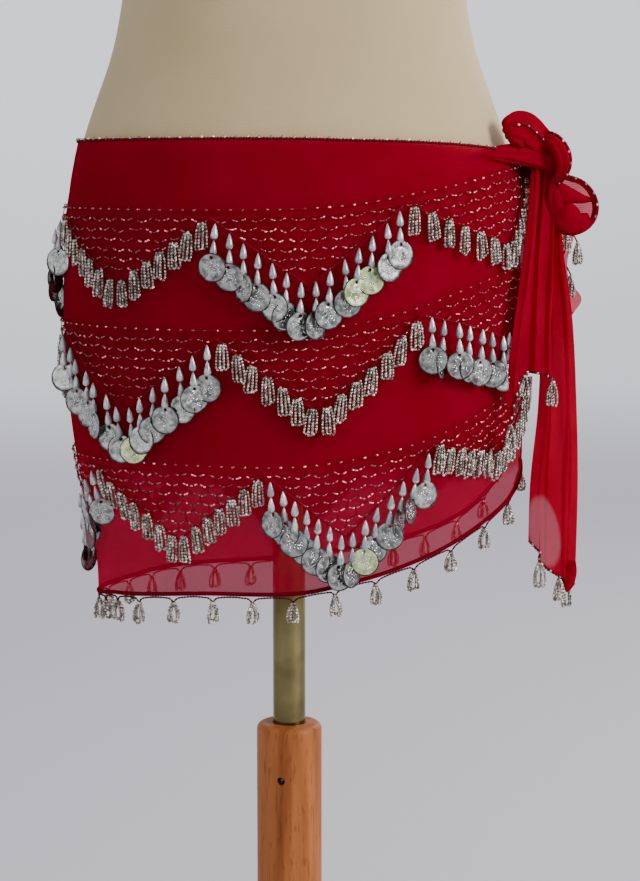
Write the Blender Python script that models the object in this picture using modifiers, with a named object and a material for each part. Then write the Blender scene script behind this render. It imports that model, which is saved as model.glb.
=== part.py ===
"""A belly dance hip scarf, tied round a limbless dress form on its pole, column and base.

Metres, +Z up. The origin is on the floor under the pole, the front of the hips faces -Y and
the knot is at +X. Places on the cloth are given as a turn round the hips or as a distance
along them, both from the middle of the front towards the knot, and as a height above the floor.
"""

import math
from bisect import bisect_right

import bmesh
import bpy
from mathutils import Vector
from mathutils.geometry import tessellate_polygon

# Walls and the gaps between pieces
CLOTH = 0.0015
SEAM = 0.0004
EASE = 0.0045
NET_OUT = 0.0009
NET_THICK = 0.0010
FRINGE_OUT = 0.0027
FRINGE_THICK = 0.0016

# Stand
BASE_RADIUS = 0.180
BASE_HEIGHT = 0.030
BASE_EDGE = 0.010
BASE_CHAMFER = 0.002
COLUMN_RADIUS = 0.0240
COLUMN_TOP = 0.470
COLUMN_EDGE = 0.0050
POLE_RADIUS = 0.0120
POLE_BOTTOM = 0.3853
POLE_IN_FORM = 0.060
BORE_RADIUS = 0.0123
SCREW_HEIGHT = 0.431
SCREW_TURN = math.radians(-14.5)
SCREW_HOLE_RADIUS = 0.0030
SCREW_RADIUS = 0.0027
SCREW_SUNK = 0.0030
SCREW_HOLE_START = 0.0060
ROUND_STEPS = 28

# Dress form: its middle stands a little to the side of the pole
FORM_X = 0.0045
FORM_BOTTOM = 0.670
FORM_EDGE = 0.012
FORM_TOP = 1.450
FORM_COLUMNS = 32
CAP_HEIGHT = 0.026
SQUARENESS = 0.03
BUST_HEIGHT = 1.215
BUST_TURN = math.radians(33)
BUST_PROUD = 0.026
BUST_SPREAD = 0.33
BUST_RISE = 0.055
HIP_RINGS = (0.738, 0.870)

# height, half width, depth in front of the middle, depth behind it
FORM_SECTIONS = (
    (0.670, 0.1570, 0.1145, 0.1160),
    (0.709, 0.1590, 0.1165, 0.1230),
    (0.767, 0.1620, 0.1175, 0.1290),
    (0.805, 0.1615, 0.1160, 0.1290),
    (0.843, 0.1595, 0.1130, 0.1235),
    (0.895, 0.1500, 0.1060, 0.1080),
    (0.925, 0.1400, 0.1000, 0.0980),
    (0.953, 0.1300, 0.0950, 0.0900),
    (0.981, 0.1235, 0.0920, 0.0850),
    (1.010, 0.1200, 0.0900, 0.0830),
    (1.050, 0.1215, 0.0910, 0.0850),
    (1.120, 0.1330, 0.0960, 0.0930),
    (1.190, 0.1450, 0.0990, 0.1020),
    (1.250, 0.1530, 0.0960, 0.1060),
    (1.300, 0.1590, 0.0880, 0.1030),
    (1.335, 0.1560, 0.0790, 0.0930),
    (1.358, 0.1320, 0.0690, 0.0800),
    (1.376, 0.0950, 0.0600, 0.0680),
    (1.394, 0.0640, 0.0540, 0.0600),
    (1.420, 0.0530, 0.0510, 0.0540),
    (1.450, 0.0510, 0.0500, 0.0520),
)

# The cloth below the form, with the same columns, for its outer face
SKIRT_SECTIONS = (
    (0.540, 0.1400, 0.1060, 0.1090),
    (0.566, 0.1425, 0.1080, 0.1110),
    (0.591, 0.1440, 0.1100, 0.1130),
    (0.636, 0.1505, 0.1140, 0.1170),
    (0.660, 0.1570, 0.1170, 0.1190),
)

# turn in degrees, then the heights of the top edge, the three net rows' upper lines and the hem
LINES = (
    (-258, 0.886, 0.872, 0.800, 0.722, 0.650),
    (-235, 0.889, 0.862, 0.788, 0.700, 0.612),
    (-210, 0.892, 0.852, 0.774, 0.683, 0.587),
    (-180, 0.893, 0.849, 0.768, 0.676, 0.573),
    (-135, 0.893, 0.848, 0.767, 0.674, 0.569),
    (-90, 0.894, 0.848, 0.768, 0.675, 0.568),
    (-60, 0.895, 0.849, 0.769, 0.676, 0.577),
    (-30, 0.896, 0.849, 0.769, 0.677, 0.5845),
    (0, 0.896, 0.850, 0.770, 0.677, 0.587),
    (15, 0.895, 0.853, 0.774, 0.682, 0.594),
    (30, 0.894, 0.860, 0.784, 0.691, 0.603),
    (45, 0.892, 0.867, 0.797, 0.705, 0.615),
    (60, 0.889, 0.874, 0.806, 0.720, 0.630),
    (75, 0.887, 0.877, 0.808, 0.731, 0.643),
    (92, 0.886, 0.878, 0.812, 0.738, 0.664),
)
HEM_LINE = 4
GIRTH_HEIGHT = 0.767

# Columns of the wrap in degrees: the first turn, then the step and the number of columns
FREE_EDGE_TURN = 92
FAR_EDGE_TURN = -258.5
WRAP_COLUMNS = ((3.6, 13), (8.0, 32), (5.55, 8))
WRAP_LEVELS = (0, 0.5, 1, 1.33, 1.67, 2, 2.33, 2.67, 3, 3.33, 3.67, 4)
EDGING_RISE = 0.004
EDGING_PROUD = 0.0008

# Net rows: where each triangle ends, going round from the knot to the far end of the cloth,
# the place of the first triangle's point and its depth, the depth of the others and the first fringe
NET_HEADER = 0.005
NET_ROWS = (
    {"ends": (0.208, 0.077, -0.056, -0.193, -0.345, -0.497, -0.650),
     "first_point": 0.165, "first_depth": 0.046, "depth": 0.046, "first": "loop"},
    {"ends": (0.222, 0.088, -0.052, -0.189, -0.342, -0.496, -0.650),
     "first_point": 0.158, "first_depth": 0.039, "depth": 0.052, "first": "coin"},
    {"ends": (0.222, 0.100, -0.020, -0.157, -0.280, -0.403, -0.526, -0.650),
     "first_point": 0.164, "first_depth": 0.035, "depth": 0.048, "first": "loop"},
)
NET_STEP = 0.0195
NET_STEP_AT_KNOT = 0.0095
NET_LEVELS = 2

# Fringe, tassels and their backing strips
STRIP = 0.0030
STRIP_LAP = 0.0010
COIN_DROPS = 7
COIN_RADIUS = 0.0095
COIN_DROP = 0.040
COIN_NECK = 0.0025
COIN_CORNERS = 6
LOOP_LOCKS = 11
LOOP_DROP = 0.019
LOOP_HALF = 0.0036
TASSEL_DROP = 0.021
TASSEL_HALF = 0.0038
TASSEL_LENGTHS = ((0.0, 0.0007), (0.006, 0.0020), (0.016, TASSEL_HALF), (TASSEL_DROP, TASSEL_HALF * 0.8))
HEM_TASSEL_PITCH = 0.0330
FRINGE_APART = 0.0006

# Soft folds of the wrap
GATHER_PROUD = 0.0018
GATHER_RAYS = 8
GATHER_PLACE = 0.236
GATHER_START = 0.070
GATHER_HEIGHT = 0.882
GATHER_REACH = (0.040, 0.075, 0.150)
HEM_WAVE = 0.0026
HEM_WAVES = 7
HEM_WAVE_START = 0.6
HEM_LOOSE = 0.10
HEM_FLARE = 0.0095
FLARE_TURNS = (45, 88, 140)
FLARE_HEIGHTS = (0.53, 0.635, 0.73)

# Knot: a core on the wrap's side and a twisted roll over it
KNOT_CENTRE = Vector((0.1812, -0.012, 0.8840))
KNOT_RADII = Vector((0.0192, 0.026, 0.0200))
ROLL_RADIUS = 0.0085
# x, y, z, thickness as a share of the roll's radius
ROLL_POINTS = (
    (0.1480, -0.0560, 0.9020, 0.45),
    (0.1575, -0.0490, 0.9065, 0.80),
    (0.1700, -0.0360, 0.9030, 1.00),
    (0.1820, -0.0260, 0.8935, 1.00),
    (0.1890, -0.0190, 0.8820, 0.90),
    (0.1900, -0.0150, 0.8720, 0.60),
)

# The bow loop's ribbon seen from the front: x, z, half of its width along y
BOW_POINTS = (
    (0.1998, 0.8775, 0.006),
    (0.2080, 0.8735, 0.010),
    (0.2165, 0.8660, 0.013),
    (0.2200, 0.8550, 0.014),
    (0.2190, 0.8440, 0.014),
    (0.2140, 0.8345, 0.013),
    (0.2060, 0.8300, 0.012),
    (0.2000, 0.8340, 0.011),
    (0.1985, 0.8450, 0.010),
    (0.1985, 0.8580, 0.007),
    (0.1990, 0.8680, 0.005),
)
BOW_Y = -0.021
BOW_CROWN = 0.003
BOW_CROWN_HALF = 0.015

# Hanging pieces seen from above: height, x and y of one side, x and y of the other side
FLAP_SECTIONS = (
    (0.700, 0.1545, -0.0760, 0.1880, -0.0500),
    (0.725, 0.1510, -0.0750, 0.1870, -0.0470),
    (0.758, 0.1550, -0.0720, 0.1855, -0.0440),
    (0.799, 0.1615, -0.0630, 0.1855, -0.0390),
    (0.833, 0.1675, -0.0530, 0.1860, -0.0330),
    (0.875, 0.1725, -0.0300, 0.1890, -0.0230),
)
TAIL_SECTIONS = (
    (0.570, 0.1715, -0.0360, 0.2055, -0.0080),
    (0.650, 0.1720, -0.0360, 0.2060, -0.0080),
    (0.710, 0.1775, -0.0330, 0.2040, -0.0060),
    (0.770, 0.1790, -0.0280, 0.2005, -0.0050),
    (0.820, 0.1780, -0.0220, 0.1945, -0.0050),
    (0.870, 0.1770, -0.0160, 0.1930, -0.0050),
)
BACK_FLAP_SECTIONS = (
    (0.760, 0.1850, 0.0160, 0.2160, 0.0360),
    (0.790, 0.1850, 0.0140, 0.2150, 0.0330),
    (0.820, 0.1840, 0.0120, 0.2100, 0.0290),
    (0.870, 0.1760, 0.0020, 0.1930, 0.0080),
)
# share of the width, height of the lower edge
FLAP_HEM = ((0.0, 0.7010), (0.2, 0.7260), (0.5, 0.7350), (1.0, 0.7290))
TAIL_HEM = ((0.0, 0.6120), (0.25, 0.5980), (0.6, 0.5830), (1.0, 0.5740))
BACK_FLAP_HEM = ((0.0, 0.7850), (0.5, 0.7740), (1.0, 0.7690))

LOOKS = {
    "chiffon": ((0.42, 0.012, 0.025, 1.0), 0.75, 0.0),
    "crochet": ((0.30, 0.010, 0.018, 1.0), 0.80, 0.0),
    "coins": ((0.74, 0.74, 0.72, 1.0), 0.30, 1.0),
    "beads": ((0.72, 0.66, 0.58, 1.0), 0.20, 0.3),
    "cotton": ((0.78, 0.70, 0.58, 1.0), 0.85, 0.0),
    "beech": ((0.62, 0.30, 0.12, 1.0), 0.40, 0.0),
    "brass": ((0.58, 0.47, 0.26, 1.0), 0.35, 1.0),
    "steel": ((0.20, 0.20, 0.20, 1.0), 0.40, 1.0),
}


def collection(name, shown=True):
    """A collection in the scene, hidden from renders where it holds only cutters."""
    group = bpy.data.collections.new(name)
    bpy.context.scene.collection.children.link(group)
    group.hide_render = not shown
    return group


def paint(piece, look):
    """Gives a piece its own material."""
    colour, roughness, metallic = LOOKS[look]
    material = bpy.data.materials.new(f"{piece.name}_{look}")
    material.use_nodes = True
    shader = material.node_tree.nodes["Principled BSDF"]
    shader.inputs["Base Color"].default_value = colour
    shader.inputs["Roughness"].default_value = roughness
    shader.inputs["Metallic"].default_value = metallic
    piece.data.materials.clear()
    piece.data.materials.append(material)


def add_piece(group, name, mesh, look):
    """Puts a mesh in the model as a named piece."""
    mesh.shade_smooth()
    mesh.set_sharp_from_angle(angle=math.radians(40))
    piece = bpy.data.objects.new(name, mesh)
    group.objects.link(piece)
    paint(piece, look)
    return piece


def along(table, at, column):
    """A column of a table at this value of its first column, on a smooth curve through the rows."""
    keys = [row[0] for row in table]
    if at <= keys[0]:
        return table[0][column]
    if at >= keys[-1]:
        return table[-1][column]
    k = bisect_right(keys, at) - 1

    def slope(i):
        low, high = max(i - 1, 0), min(i + 1, len(keys) - 1)
        return (table[high][column] - table[low][column]) / (keys[high] - keys[low])

    span = keys[k + 1] - keys[k]
    t = (at - keys[k]) / span
    start, end = table[k][column], table[k + 1][column]
    return (
        start * (2 * t**3 - 3 * t**2 + 1)
        + slope(k) * span * (t**3 - 2 * t**2 + t)
        + end * (3 * t**2 - 2 * t**3)
        + slope(k + 1) * span * (t**3 - t**2)
    )


def grown(rows, by):
    """Section rows with every size made larger."""
    return tuple((row[0], *(size + by for size in row[1:])) for row in rows)


WRAP_SECTIONS = SKIRT_SECTIONS + grown(FORM_SECTIONS[1:10], EASE)


def oval(sections, turn, height):
    """The point of a body's section at this turn and height, as x and y."""
    half_width = along(sections, height, 1)
    depth = along(sections, height, 2 if math.cos(turn) > 0 else 3)
    square = 1 + SQUARENESS * math.sin(2 * turn) ** 2
    return Vector((FORM_X + half_width * math.sin(turn) * square, -depth * math.cos(turn) * square, 0))


def oval_out(sections, turn, height):
    """The level direction out of a section at this turn."""
    step = oval(sections, turn + 0.01, height) - oval(sections, turn - 0.01, height)
    return Vector((step.y, -step.x, 0)).normalized()


def girth_table():
    """Turns in degrees and how far along the hips each is from the middle of the front."""
    turns = list(range(-280, 121, 2))
    points = [oval(WRAP_SECTIONS, math.radians(turn), GIRTH_HEIGHT) for turn in turns]
    places = [0.0]
    for before, after in zip(points, points[1:]):
        places.append(places[-1] + (after - before).length)
    zero = places[turns.index(0)]
    return tuple((place - zero, turn) for place, turn in zip(places, turns))


GIRTH = girth_table()
PLACES = tuple((turn, place) for place, turn in GIRTH)


def turn_at(place):
    """The turn in radians at a distance along the hips."""
    return math.radians(along(GIRTH, place, 1))


def place_at(turn):
    """The distance along the hips at a turn in radians."""
    return along(PLACES, math.degrees(turn), 1)


def line_height(turn, level):
    """Height of the cloth at a level: 0 is the top edge, 1 to 3 the net rows and 4 the hem."""
    low = min(int(level), HEM_LINE - 1)
    heights = [along(LINES, math.degrees(turn), low + 1 + k) for k in (0, 1)]
    return heights[0] + (heights[1] - heights[0]) * (level - low)


def bump(value, start, peak, end):
    """Rises smoothly from 0 at start to 1 at peak, and falls to 0 at end."""
    if not start < value < end:
        return 0.0
    share = (value - start) / (peak - start) if value < peak else (end - value) / (end - peak)
    return share * share * (3 - 2 * share)


def fold_out(turn, height):
    """How far the folds stand out: gathers that fan out of the knot, the hem's waves and its flare."""
    fall, run = height - GATHER_HEIGHT, place_at(turn) - GATHER_PLACE
    ray = math.atan2(fall, run)
    gather = bump(math.hypot(fall, run), *GATHER_REACH)
    out = GATHER_PROUD * gather * (0.5 + 0.5 * math.cos(GATHER_RAYS * ray))
    loose = min(max((FORM_BOTTOM - height) / HEM_LOOSE, 0.0), 1.0)
    pulled = bump(math.degrees(turn), *FLARE_TURNS) * bump(height, *FLARE_HEIGHTS)
    return out + HEM_WAVE * loose * math.sin(HEM_WAVES * turn + HEM_WAVE_START) + HEM_FLARE * pulled


def cloth_point(turn, height, out):
    """A point this far out of the wrap's outer face."""
    level = oval(WRAP_SECTIONS, turn, height)
    level += oval_out(WRAP_SECTIONS, turn, height) * (fold_out(turn, height) + out)
    return Vector((level.x, level.y, height))


def slab(near, far):
    """A closed mesh between two grids of points, given as rows of columns."""
    shape = bmesh.new()
    rows, columns = len(near), len(near[0])
    sides = [[[shape.verts.new(point) for point in row] for row in grid] for grid in (near, far)]
    for r in range(rows - 1):
        for c in range(columns - 1):
            for side in sides:
                shape.faces.new((side[r][c], side[r][c + 1], side[r + 1][c + 1], side[r + 1][c]))
    rim = [(0, c) for c in range(columns)] + [(r, columns - 1) for r in range(1, rows)]
    rim += [(rows - 1, c) for c in range(columns - 2, -1, -1)] + [(r, 0) for r in range(rows - 2, 0, -1)]
    for here, after in zip(rim, rim[1:] + rim[:1]):
        corners = [sides[side][at[0]][at[1]] for side, at in ((0, here), (0, after), (1, after), (1, here))]
        shape.faces.new(corners)
    return finished(shape)


def finished(shape):
    """The mesh of a bmesh, with its faces turned outward."""
    bmesh.ops.recalc_face_normals(shape, faces=shape.faces)
    if shape.calc_volume(signed=True) < 0:
        bmesh.ops.reverse_faces(shape, faces=shape.faces)
    mesh = bpy.data.meshes.new("mesh")
    shape.to_mesh(mesh)
    shape.free()
    return mesh


def rings(sections):
    """A closed mesh through rings of points, with both ends capped."""
    shape = bmesh.new()
    loops = [[shape.verts.new(point) for point in ring] for ring in sections]
    count = len(loops[0])
    for lower, upper in zip(loops, loops[1:]):
        for c in range(count):
            after = (c + 1) % count
            shape.faces.new((lower[c], lower[after], upper[after], upper[c]))
    shape.faces.new(loops[0])
    shape.faces.new(loops[-1])
    return finished(shape)


def turned(group, name, profile, look):
    """A piece turned round the pole's axis from a profile that runs down its outer side."""
    mesh = bpy.data.meshes.new(name)
    points = [(radius, 0, height) for radius, height in profile]
    mesh.from_pydata(points, [(k, k + 1) for k in range(len(points) - 1)], [])
    piece = add_piece(group, name, mesh, look)
    screw = piece.modifiers.new("turn", "SCREW")
    screw.steps = screw.render_steps = ROUND_STEPS
    screw.use_merge_vertices = True
    screw.merge_threshold = 0.00001
    screw.use_smooth_shade = True
    return piece


def arc_profile(centre, radius, start, end, steps):
    """Points of a profile along a round edge, in degrees from straight out."""
    turns = [math.radians(start + (end - start) * k / steps) for k in range(steps + 1)]
    return [(centre[0] + radius * math.cos(t), centre[1] + radius * math.sin(t)) for t in turns]


def build_stand(group, cutters):
    """Base, column with its clamping screw, and pole."""
    base = [(0.0, BASE_HEIGHT)]
    base += arc_profile((BASE_RADIUS - BASE_EDGE, BASE_HEIGHT - BASE_EDGE), BASE_EDGE, 90, 0, 4)
    base += [(BASE_RADIUS, BASE_CHAMFER), (BASE_RADIUS - BASE_CHAMFER, 0.0), (0.0, 0.0)]
    turned(group, "base", base, "beech")

    column = [(0.0, POLE_BOTTOM - SEAM), (BORE_RADIUS, POLE_BOTTOM - SEAM), (BORE_RADIUS, COLUMN_TOP)]
    column += arc_profile((COLUMN_RADIUS - COLUMN_EDGE, COLUMN_TOP - COLUMN_EDGE), COLUMN_EDGE, 90, 0, 4)
    column += [(COLUMN_RADIUS, BASE_HEIGHT + SEAM), (0.0, BASE_HEIGHT + SEAM)]
    post = turned(group, "column", column, "beech")

    pole_top = FORM_BOTTOM + POLE_IN_FORM - SEAM
    bpy.ops.mesh.primitive_cylinder_add(
        vertices=ROUND_STEPS, radius=POLE_RADIUS, depth=pole_top - POLE_BOTTOM,
        location=(0, 0, (pole_top + POLE_BOTTOM) / 2),
    )
    adopt(group, "pole", "brass")

    out = Vector((math.sin(SCREW_TURN), -math.cos(SCREW_TURN), 0))
    hole_end = COLUMN_RADIUS + POLE_RADIUS
    cutter = rod(cutters, "screw_hole", out, SCREW_HOLE_START, hole_end, SCREW_HOLE_RADIUS, "steel")
    cutter.hide_render = True
    cutter.display_type = "WIRE"
    cut = post.modifiers.new("screw hole", "BOOLEAN")
    cut.object = cutter
    rod(group, "set_screw", out, POLE_RADIUS + SEAM, COLUMN_RADIUS - SCREW_SUNK, SCREW_RADIUS, "steel")


def adopt(group, name, look):
    """Names the primitive that was just added and moves it into the model."""
    piece = bpy.context.object
    piece.name = name
    for holder in list(piece.users_collection):
        holder.objects.unlink(piece)
    group.objects.link(piece)
    piece.data.shade_smooth()
    piece.data.set_sharp_from_angle(angle=math.radians(40))
    paint(piece, look)
    return piece


def rod(group, name, out, start, end, radius, look):
    """A level round rod at the screw's height, between two distances from the pole's axis."""
    middle = out * (start + end) / 2 + Vector((0, 0, SCREW_HEIGHT))
    bpy.ops.mesh.primitive_cylinder_add(
        vertices=16, radius=radius, depth=end - start, location=middle,
        rotation=out.to_track_quat("Z", "Y").to_euler(),
    )
    return adopt(group, name, look)


def build_form(group):
    """The torso with the pole's bore in its underside, and the cap on its neck."""
    turns = [2 * math.pi * c / FORM_COLUMNS for c in range(FORM_COLUMNS)]

    def bore(height):
        return [(BORE_RADIUS * math.sin(t), -BORE_RADIUS * math.cos(t), height) for t in turns]

    def body(height, inset=0.0):
        ring = []
        for turn in turns:
            point = oval(FORM_SECTIONS, turn, height) - oval_out(FORM_SECTIONS, turn, height) * inset
            from_front = abs((turn + math.pi) % (2 * math.pi) - math.pi)
            side = math.exp(-(((from_front - BUST_TURN) / BUST_SPREAD) ** 2))
            rise = math.exp(-(((height - BUST_HEIGHT) / BUST_RISE) ** 2))
            point.y -= BUST_PROUD * side * rise
            ring.append((point.x, point.y, height))
        return ring

    sections = [bore(FORM_BOTTOM + POLE_IN_FORM), bore(FORM_BOTTOM)]
    for step in (90, 60, 30):
        round_part = math.radians(step)
        low = body(FORM_BOTTOM + FORM_EDGE, FORM_EDGE * (1 - math.cos(round_part)))
        drop = FORM_EDGE * math.sin(round_part)
        sections.append([(x, y, z - drop) for x, y, z in low])
    heights = [FORM_BOTTOM + FORM_EDGE, *HIP_RINGS] + [row[0] for row in FORM_SECTIONS[1:]]
    sections += [body(height) for height in sorted(heights)]
    add_piece(group, "form_torso", rings(sections), "cotton")

    neck = FORM_SECTIONS[-1]
    cap = []
    for step in (0, 30, 60, 84):
        share = math.cos(math.radians(step))
        height = FORM_TOP + SEAM + CAP_HEIGHT * math.sin(math.radians(step))
        cap.append([
            (FORM_X + neck[1] * share * math.sin(t), -neck[2] * share * math.cos(t), height) for t in turns
        ])
    add_piece(group, "form_neck_cap", rings(cap), "beech")


def wrap_turns():
    """The turns of the wrap's columns: close together near the knot, wider elsewhere."""
    turns = [FREE_EDGE_TURN]
    for step, count in WRAP_COLUMNS:
        turns += [turns[-1] - step * (k + 1) for k in range(count)]
    return [math.radians(turn) for turn in turns if turn >= FAR_EDGE_TURN]


def build_wrap(group):
    """The wrap, and the edging along its top."""
    turns = wrap_turns()

    def grid(out):
        return [[cloth_point(t, line_height(t, level), out) for t in turns] for level in WRAP_LEVELS]

    add_piece(group, "cloth_wrap", slab(grid(-CLOTH), grid(0)), "chiffon")

    def edge(out):
        rises = (SEAM, SEAM + EDGING_RISE)
        return [[cloth_point(t, line_height(t, 0) + up, out) for t in turns] for up in rises]

    add_piece(group, "top_edging", slab(edge(-CLOTH - EDGING_PROUD), edge(EDGING_PROUD)), "crochet")


def build_net(group, number, row):
    """One row of net triangles under a narrow header, laid on the wrap."""
    ends = row["ends"]
    stops = []
    for start, end in zip(ends, ends[1:]):
        stops += [start, point_of(row, start, end)]
    stops.append(ends[-1])
    places = [stops[0]]
    for before, after in zip(stops, stops[1:]):
        step = NET_STEP_AT_KNOT if after > GATHER_START else NET_STEP
        count = math.ceil((before - after) / step)
        places += [before + (after - before) * (k + 1) / count for k in range(count)]

    def grid(out):
        rows = []
        for k in range(NET_LEVELS + 1):
            line = []
            for place in places:
                turn = turn_at(place)
                height = line_height(turn, number) - net_depth(row, place) * k / NET_LEVELS
                line.append(cloth_point(turn, height, out))
            rows.append(line)
        return rows

    mesh = slab(grid(NET_OUT), grid(NET_OUT + NET_THICK))
    add_piece(group, f"net_row_{number}", mesh, "crochet")


def point_of(row, start, end):
    """Where a net triangle has its point: in the middle, but nearer the knot in the first one."""
    return row["first_point"] if start == row["ends"][0] else (start + end) / 2


def net_depth(row, place):
    """How far a net row reaches below its upper line at a place along the hips."""
    for start, end in zip(row["ends"], row["ends"][1:]):
        if end <= place <= start:
            point = point_of(row, start, end)
            far_side = start if place > point else end
            depth = row["first_depth"] if start == row["ends"][0] else row["depth"]
            return NET_HEADER + depth * (far_side - place) / (far_side - point)
    return NET_HEADER


def comb(stations, edge, teeth, drape):
    """The mesh of a strip below an edge with teeth hanging from it, laid out flat and then draped.

    Flat, x runs along the edge and y down from it. Each tooth is its place, its half width,
    its length and the radius of the coin at its end, or 0.
    """
    roots = [(place - half, place + half) for place, half, _, _ in teeth]
    columns = sorted(set(stations).union(*roots))
    flat = [(x, edge(x)) for x in columns] + [(x, edge(x) + STRIP) for x in columns]
    count = len(columns)
    faces = [(c, c + 1, count + c + 1, count + c) for c in range(count - 1)]
    for (place, half, drop, coin), (left, right) in zip(teeth, roots):
        first, last = columns.index(left), columns.index(right)
        tip = edge(place) + drop
        outline = [(place + half * 0.85, tip), (place - half * 0.85, tip)]
        if coin:
            turns = [math.radians(20 + 320 * k / (COIN_CORNERS - 1)) for k in range(COIN_CORNERS)]
            outline = [(place + coin * math.sin(t), tip - coin - coin * math.cos(t)) for t in turns]
            faces.append(range(len(flat), len(flat) + COIN_CORNERS))
        foot = (len(flat), len(flat) + len(outline) - 1)
        flat += outline
        faces.append([*range(count + first, count + last + 1), *foot])
    return thickened(flat, faces, drape)


def thickened(flat, faces, drape):
    """A closed mesh from a flat layout of faces, draped at both sides of its thickness.

    Both sides have the same triangles, worked out flat, so that they never cross.
    """
    shape = bmesh.new()
    sides = [[shape.verts.new(drape(x, y, out)) for x, y in flat] for out in (0.0, FRINGE_THICK)]
    uses = {}
    for face in faces:
        corners = [Vector((*flat[k], 0)) for k in face]
        for triple in tessellate_polygon([corners]):
            triangle = [face[k] for k in triple]
            for side in sides:
                shape.faces.new([side[k] for k in triangle])
            for pair in zip(triangle, [*triangle[1:], triangle[0]]):
                uses.setdefault(frozenset(pair), []).append(pair)
    for pairs in uses.values():
        if len(pairs) == 1:
            here, after = pairs[0]
            shape.faces.new((sides[0][here], sides[0][after], sides[1][after], sides[1][here]))
    bmesh.ops.triangulate(shape, faces=shape.faces)
    return finished(shape)


def build_fringes(group, number, row):
    """A fringe below each triangle of a net row: coin drops and bead loops by turns."""
    kinds = ("loop", "coin") if row["first"] == "loop" else ("coin", "loop")

    def edge(place):
        return net_depth(row, place) - STRIP_LAP

    def drape(place, down, out):
        turn = turn_at(place)
        return cloth_point(turn, line_height(turn, number) - down, FRINGE_OUT + out)

    for k, (start, end) in enumerate(zip(row["ends"], row["ends"][1:])):
        kind = kinds[k % 2]
        count = COIN_DROPS if kind == "coin" else LOOP_LOCKS
        pitch = (start - end) / count
        point = point_of(row, start, end)
        teeth = []
        for tooth in range(count):
            share = (tooth + 0.5) / count
            near, far = (start, point) if share < 0.5 else (point, end)
            place = near + (far - near) * (share * 2 % 1.0 if share != 0.5 else 0.0)
            if kind == "coin":
                teeth.append((place, COIN_NECK, COIN_DROP, COIN_RADIUS))
            else:
                teeth.append((place, min(LOOP_HALF, pitch * 0.36), LOOP_DROP, 0))
        mesh = comb([start - FRINGE_APART, point, end + FRINGE_APART], edge, teeth, drape)
        look = "coins" if kind == "coin" else "beads"
        add_piece(group, f"{kind}_fringe_{number}_{k + 1}", mesh, look)


def build_hem(group):
    """The crocheted edge under the hem with its bead tassels, one comb round the whole hem."""
    stations = [place_at(turn) for turn in wrap_turns()]

    def edge(place):
        return SEAM

    def drape(place, down, out):
        turn = turn_at(place)
        return cloth_point(turn, line_height(turn, HEM_LINE) - down, out - FRINGE_THICK)

    first, last = (int(end / HEM_TASSEL_PITCH) for end in (min(stations), max(stations)))
    teeth = [(k * HEM_TASSEL_PITCH, TASSEL_HALF, TASSEL_DROP, 0) for k in range(first, last + 1)]
    add_piece(group, "hem_edging", comb(stations, edge, teeth, drape), "beads")


def knot_under(x, y):
    """Height of the knot's underside over a point, or of its middle beside it."""
    share = ((x - KNOT_CENTRE.x) / KNOT_RADII.x) ** 2 + ((y - KNOT_CENTRE.y) / KNOT_RADII.y) ** 2
    return KNOT_CENTRE.z - KNOT_RADII.z * math.sqrt(max(1 - share, 0.0))


def build_knot(group):
    """The knot: a round core joined with the twisted roll that crosses it."""
    shape = bmesh.new()
    bmesh.ops.create_uvsphere(shape, u_segments=16, v_segments=10, radius=1.0)
    for corner in shape.verts:
        corner.co = KNOT_CENTRE + Vector(a * b for a, b in zip(corner.co, KNOT_RADII))
    knot = add_piece(group, "knot", finished(shape), "chiffon")

    curve = bpy.data.curves.new("roll", "CURVE")
    curve.dimensions = "3D"
    curve.bevel_depth = ROLL_RADIUS
    curve.bevel_resolution = 2
    curve.use_fill_caps = True
    line = curve.splines.new("POLY")
    steps = 12
    line.points.add(steps)
    table = tuple((k, *row) for k, row in enumerate(ROLL_POINTS))
    for k, knot_point in enumerate(line.points):
        at = k * (len(ROLL_POINTS) - 1) / steps
        knot_point.co = (along(table, at, 1), along(table, at, 2), along(table, at, 3), 1)
        knot_point.radius = along(table, at, 4)
    roll = bpy.data.objects.new("roll", curve)
    bpy.context.scene.collection.objects.link(roll)
    bpy.context.view_layer.update()
    depsgraph = bpy.context.evaluated_depsgraph_get()
    mesh = bpy.data.meshes.new_from_object(roll.evaluated_get(depsgraph))
    bpy.data.objects.remove(roll)
    welded = bmesh.new()
    welded.from_mesh(mesh)
    bmesh.ops.remove_doubles(welded, verts=welded.verts, dist=0.000001)
    join_to(knot, finished(welded))


def join_to(piece, mesh):
    """Joins a closed mesh to a piece."""
    other = bpy.data.objects.new("joined", mesh)
    bpy.context.scene.collection.objects.link(other)
    join = piece.modifiers.new("join", "BOOLEAN")
    join.operation = "UNION"
    join.object = other
    bpy.context.view_layer.update()
    depsgraph = bpy.context.evaluated_depsgraph_get()
    whole = bpy.data.meshes.new_from_object(piece.evaluated_get(depsgraph))
    piece.modifiers.clear()
    piece.data = whole
    bpy.data.objects.remove(other)


def build_bow(group):
    """The bow loop: a ribbon of cloth bent back to the knot."""
    table = tuple((k, *row) for k, row in enumerate(BOW_POINTS))
    steps = 14
    middle = []
    for k in range(steps + 1):
        at = k * (len(BOW_POINTS) - 1) / steps
        middle.append((Vector((along(table, at, 1), 0, along(table, at, 2))), along(table, at, 3)))
    across = (-1.0, 0.0, 1.0)

    def grid(out):
        rows = []
        for k, (point, half) in enumerate(middle):
            ahead = middle[min(k + 1, steps)][0] - middle[max(k - 1, 0)][0]
            normal = Vector((-ahead.z, 0, ahead.x)).normalized()
            rows.append([
                point
                + normal * (out - BOW_CROWN * side * side * half / BOW_CROWN_HALF)
                + Vector((0, BOW_Y + half * side, 0))
                for side in across
            ])
        return rows

    add_piece(group, "bow_loop", slab(grid(-CLOTH), grid(0)), "chiffon")


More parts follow.
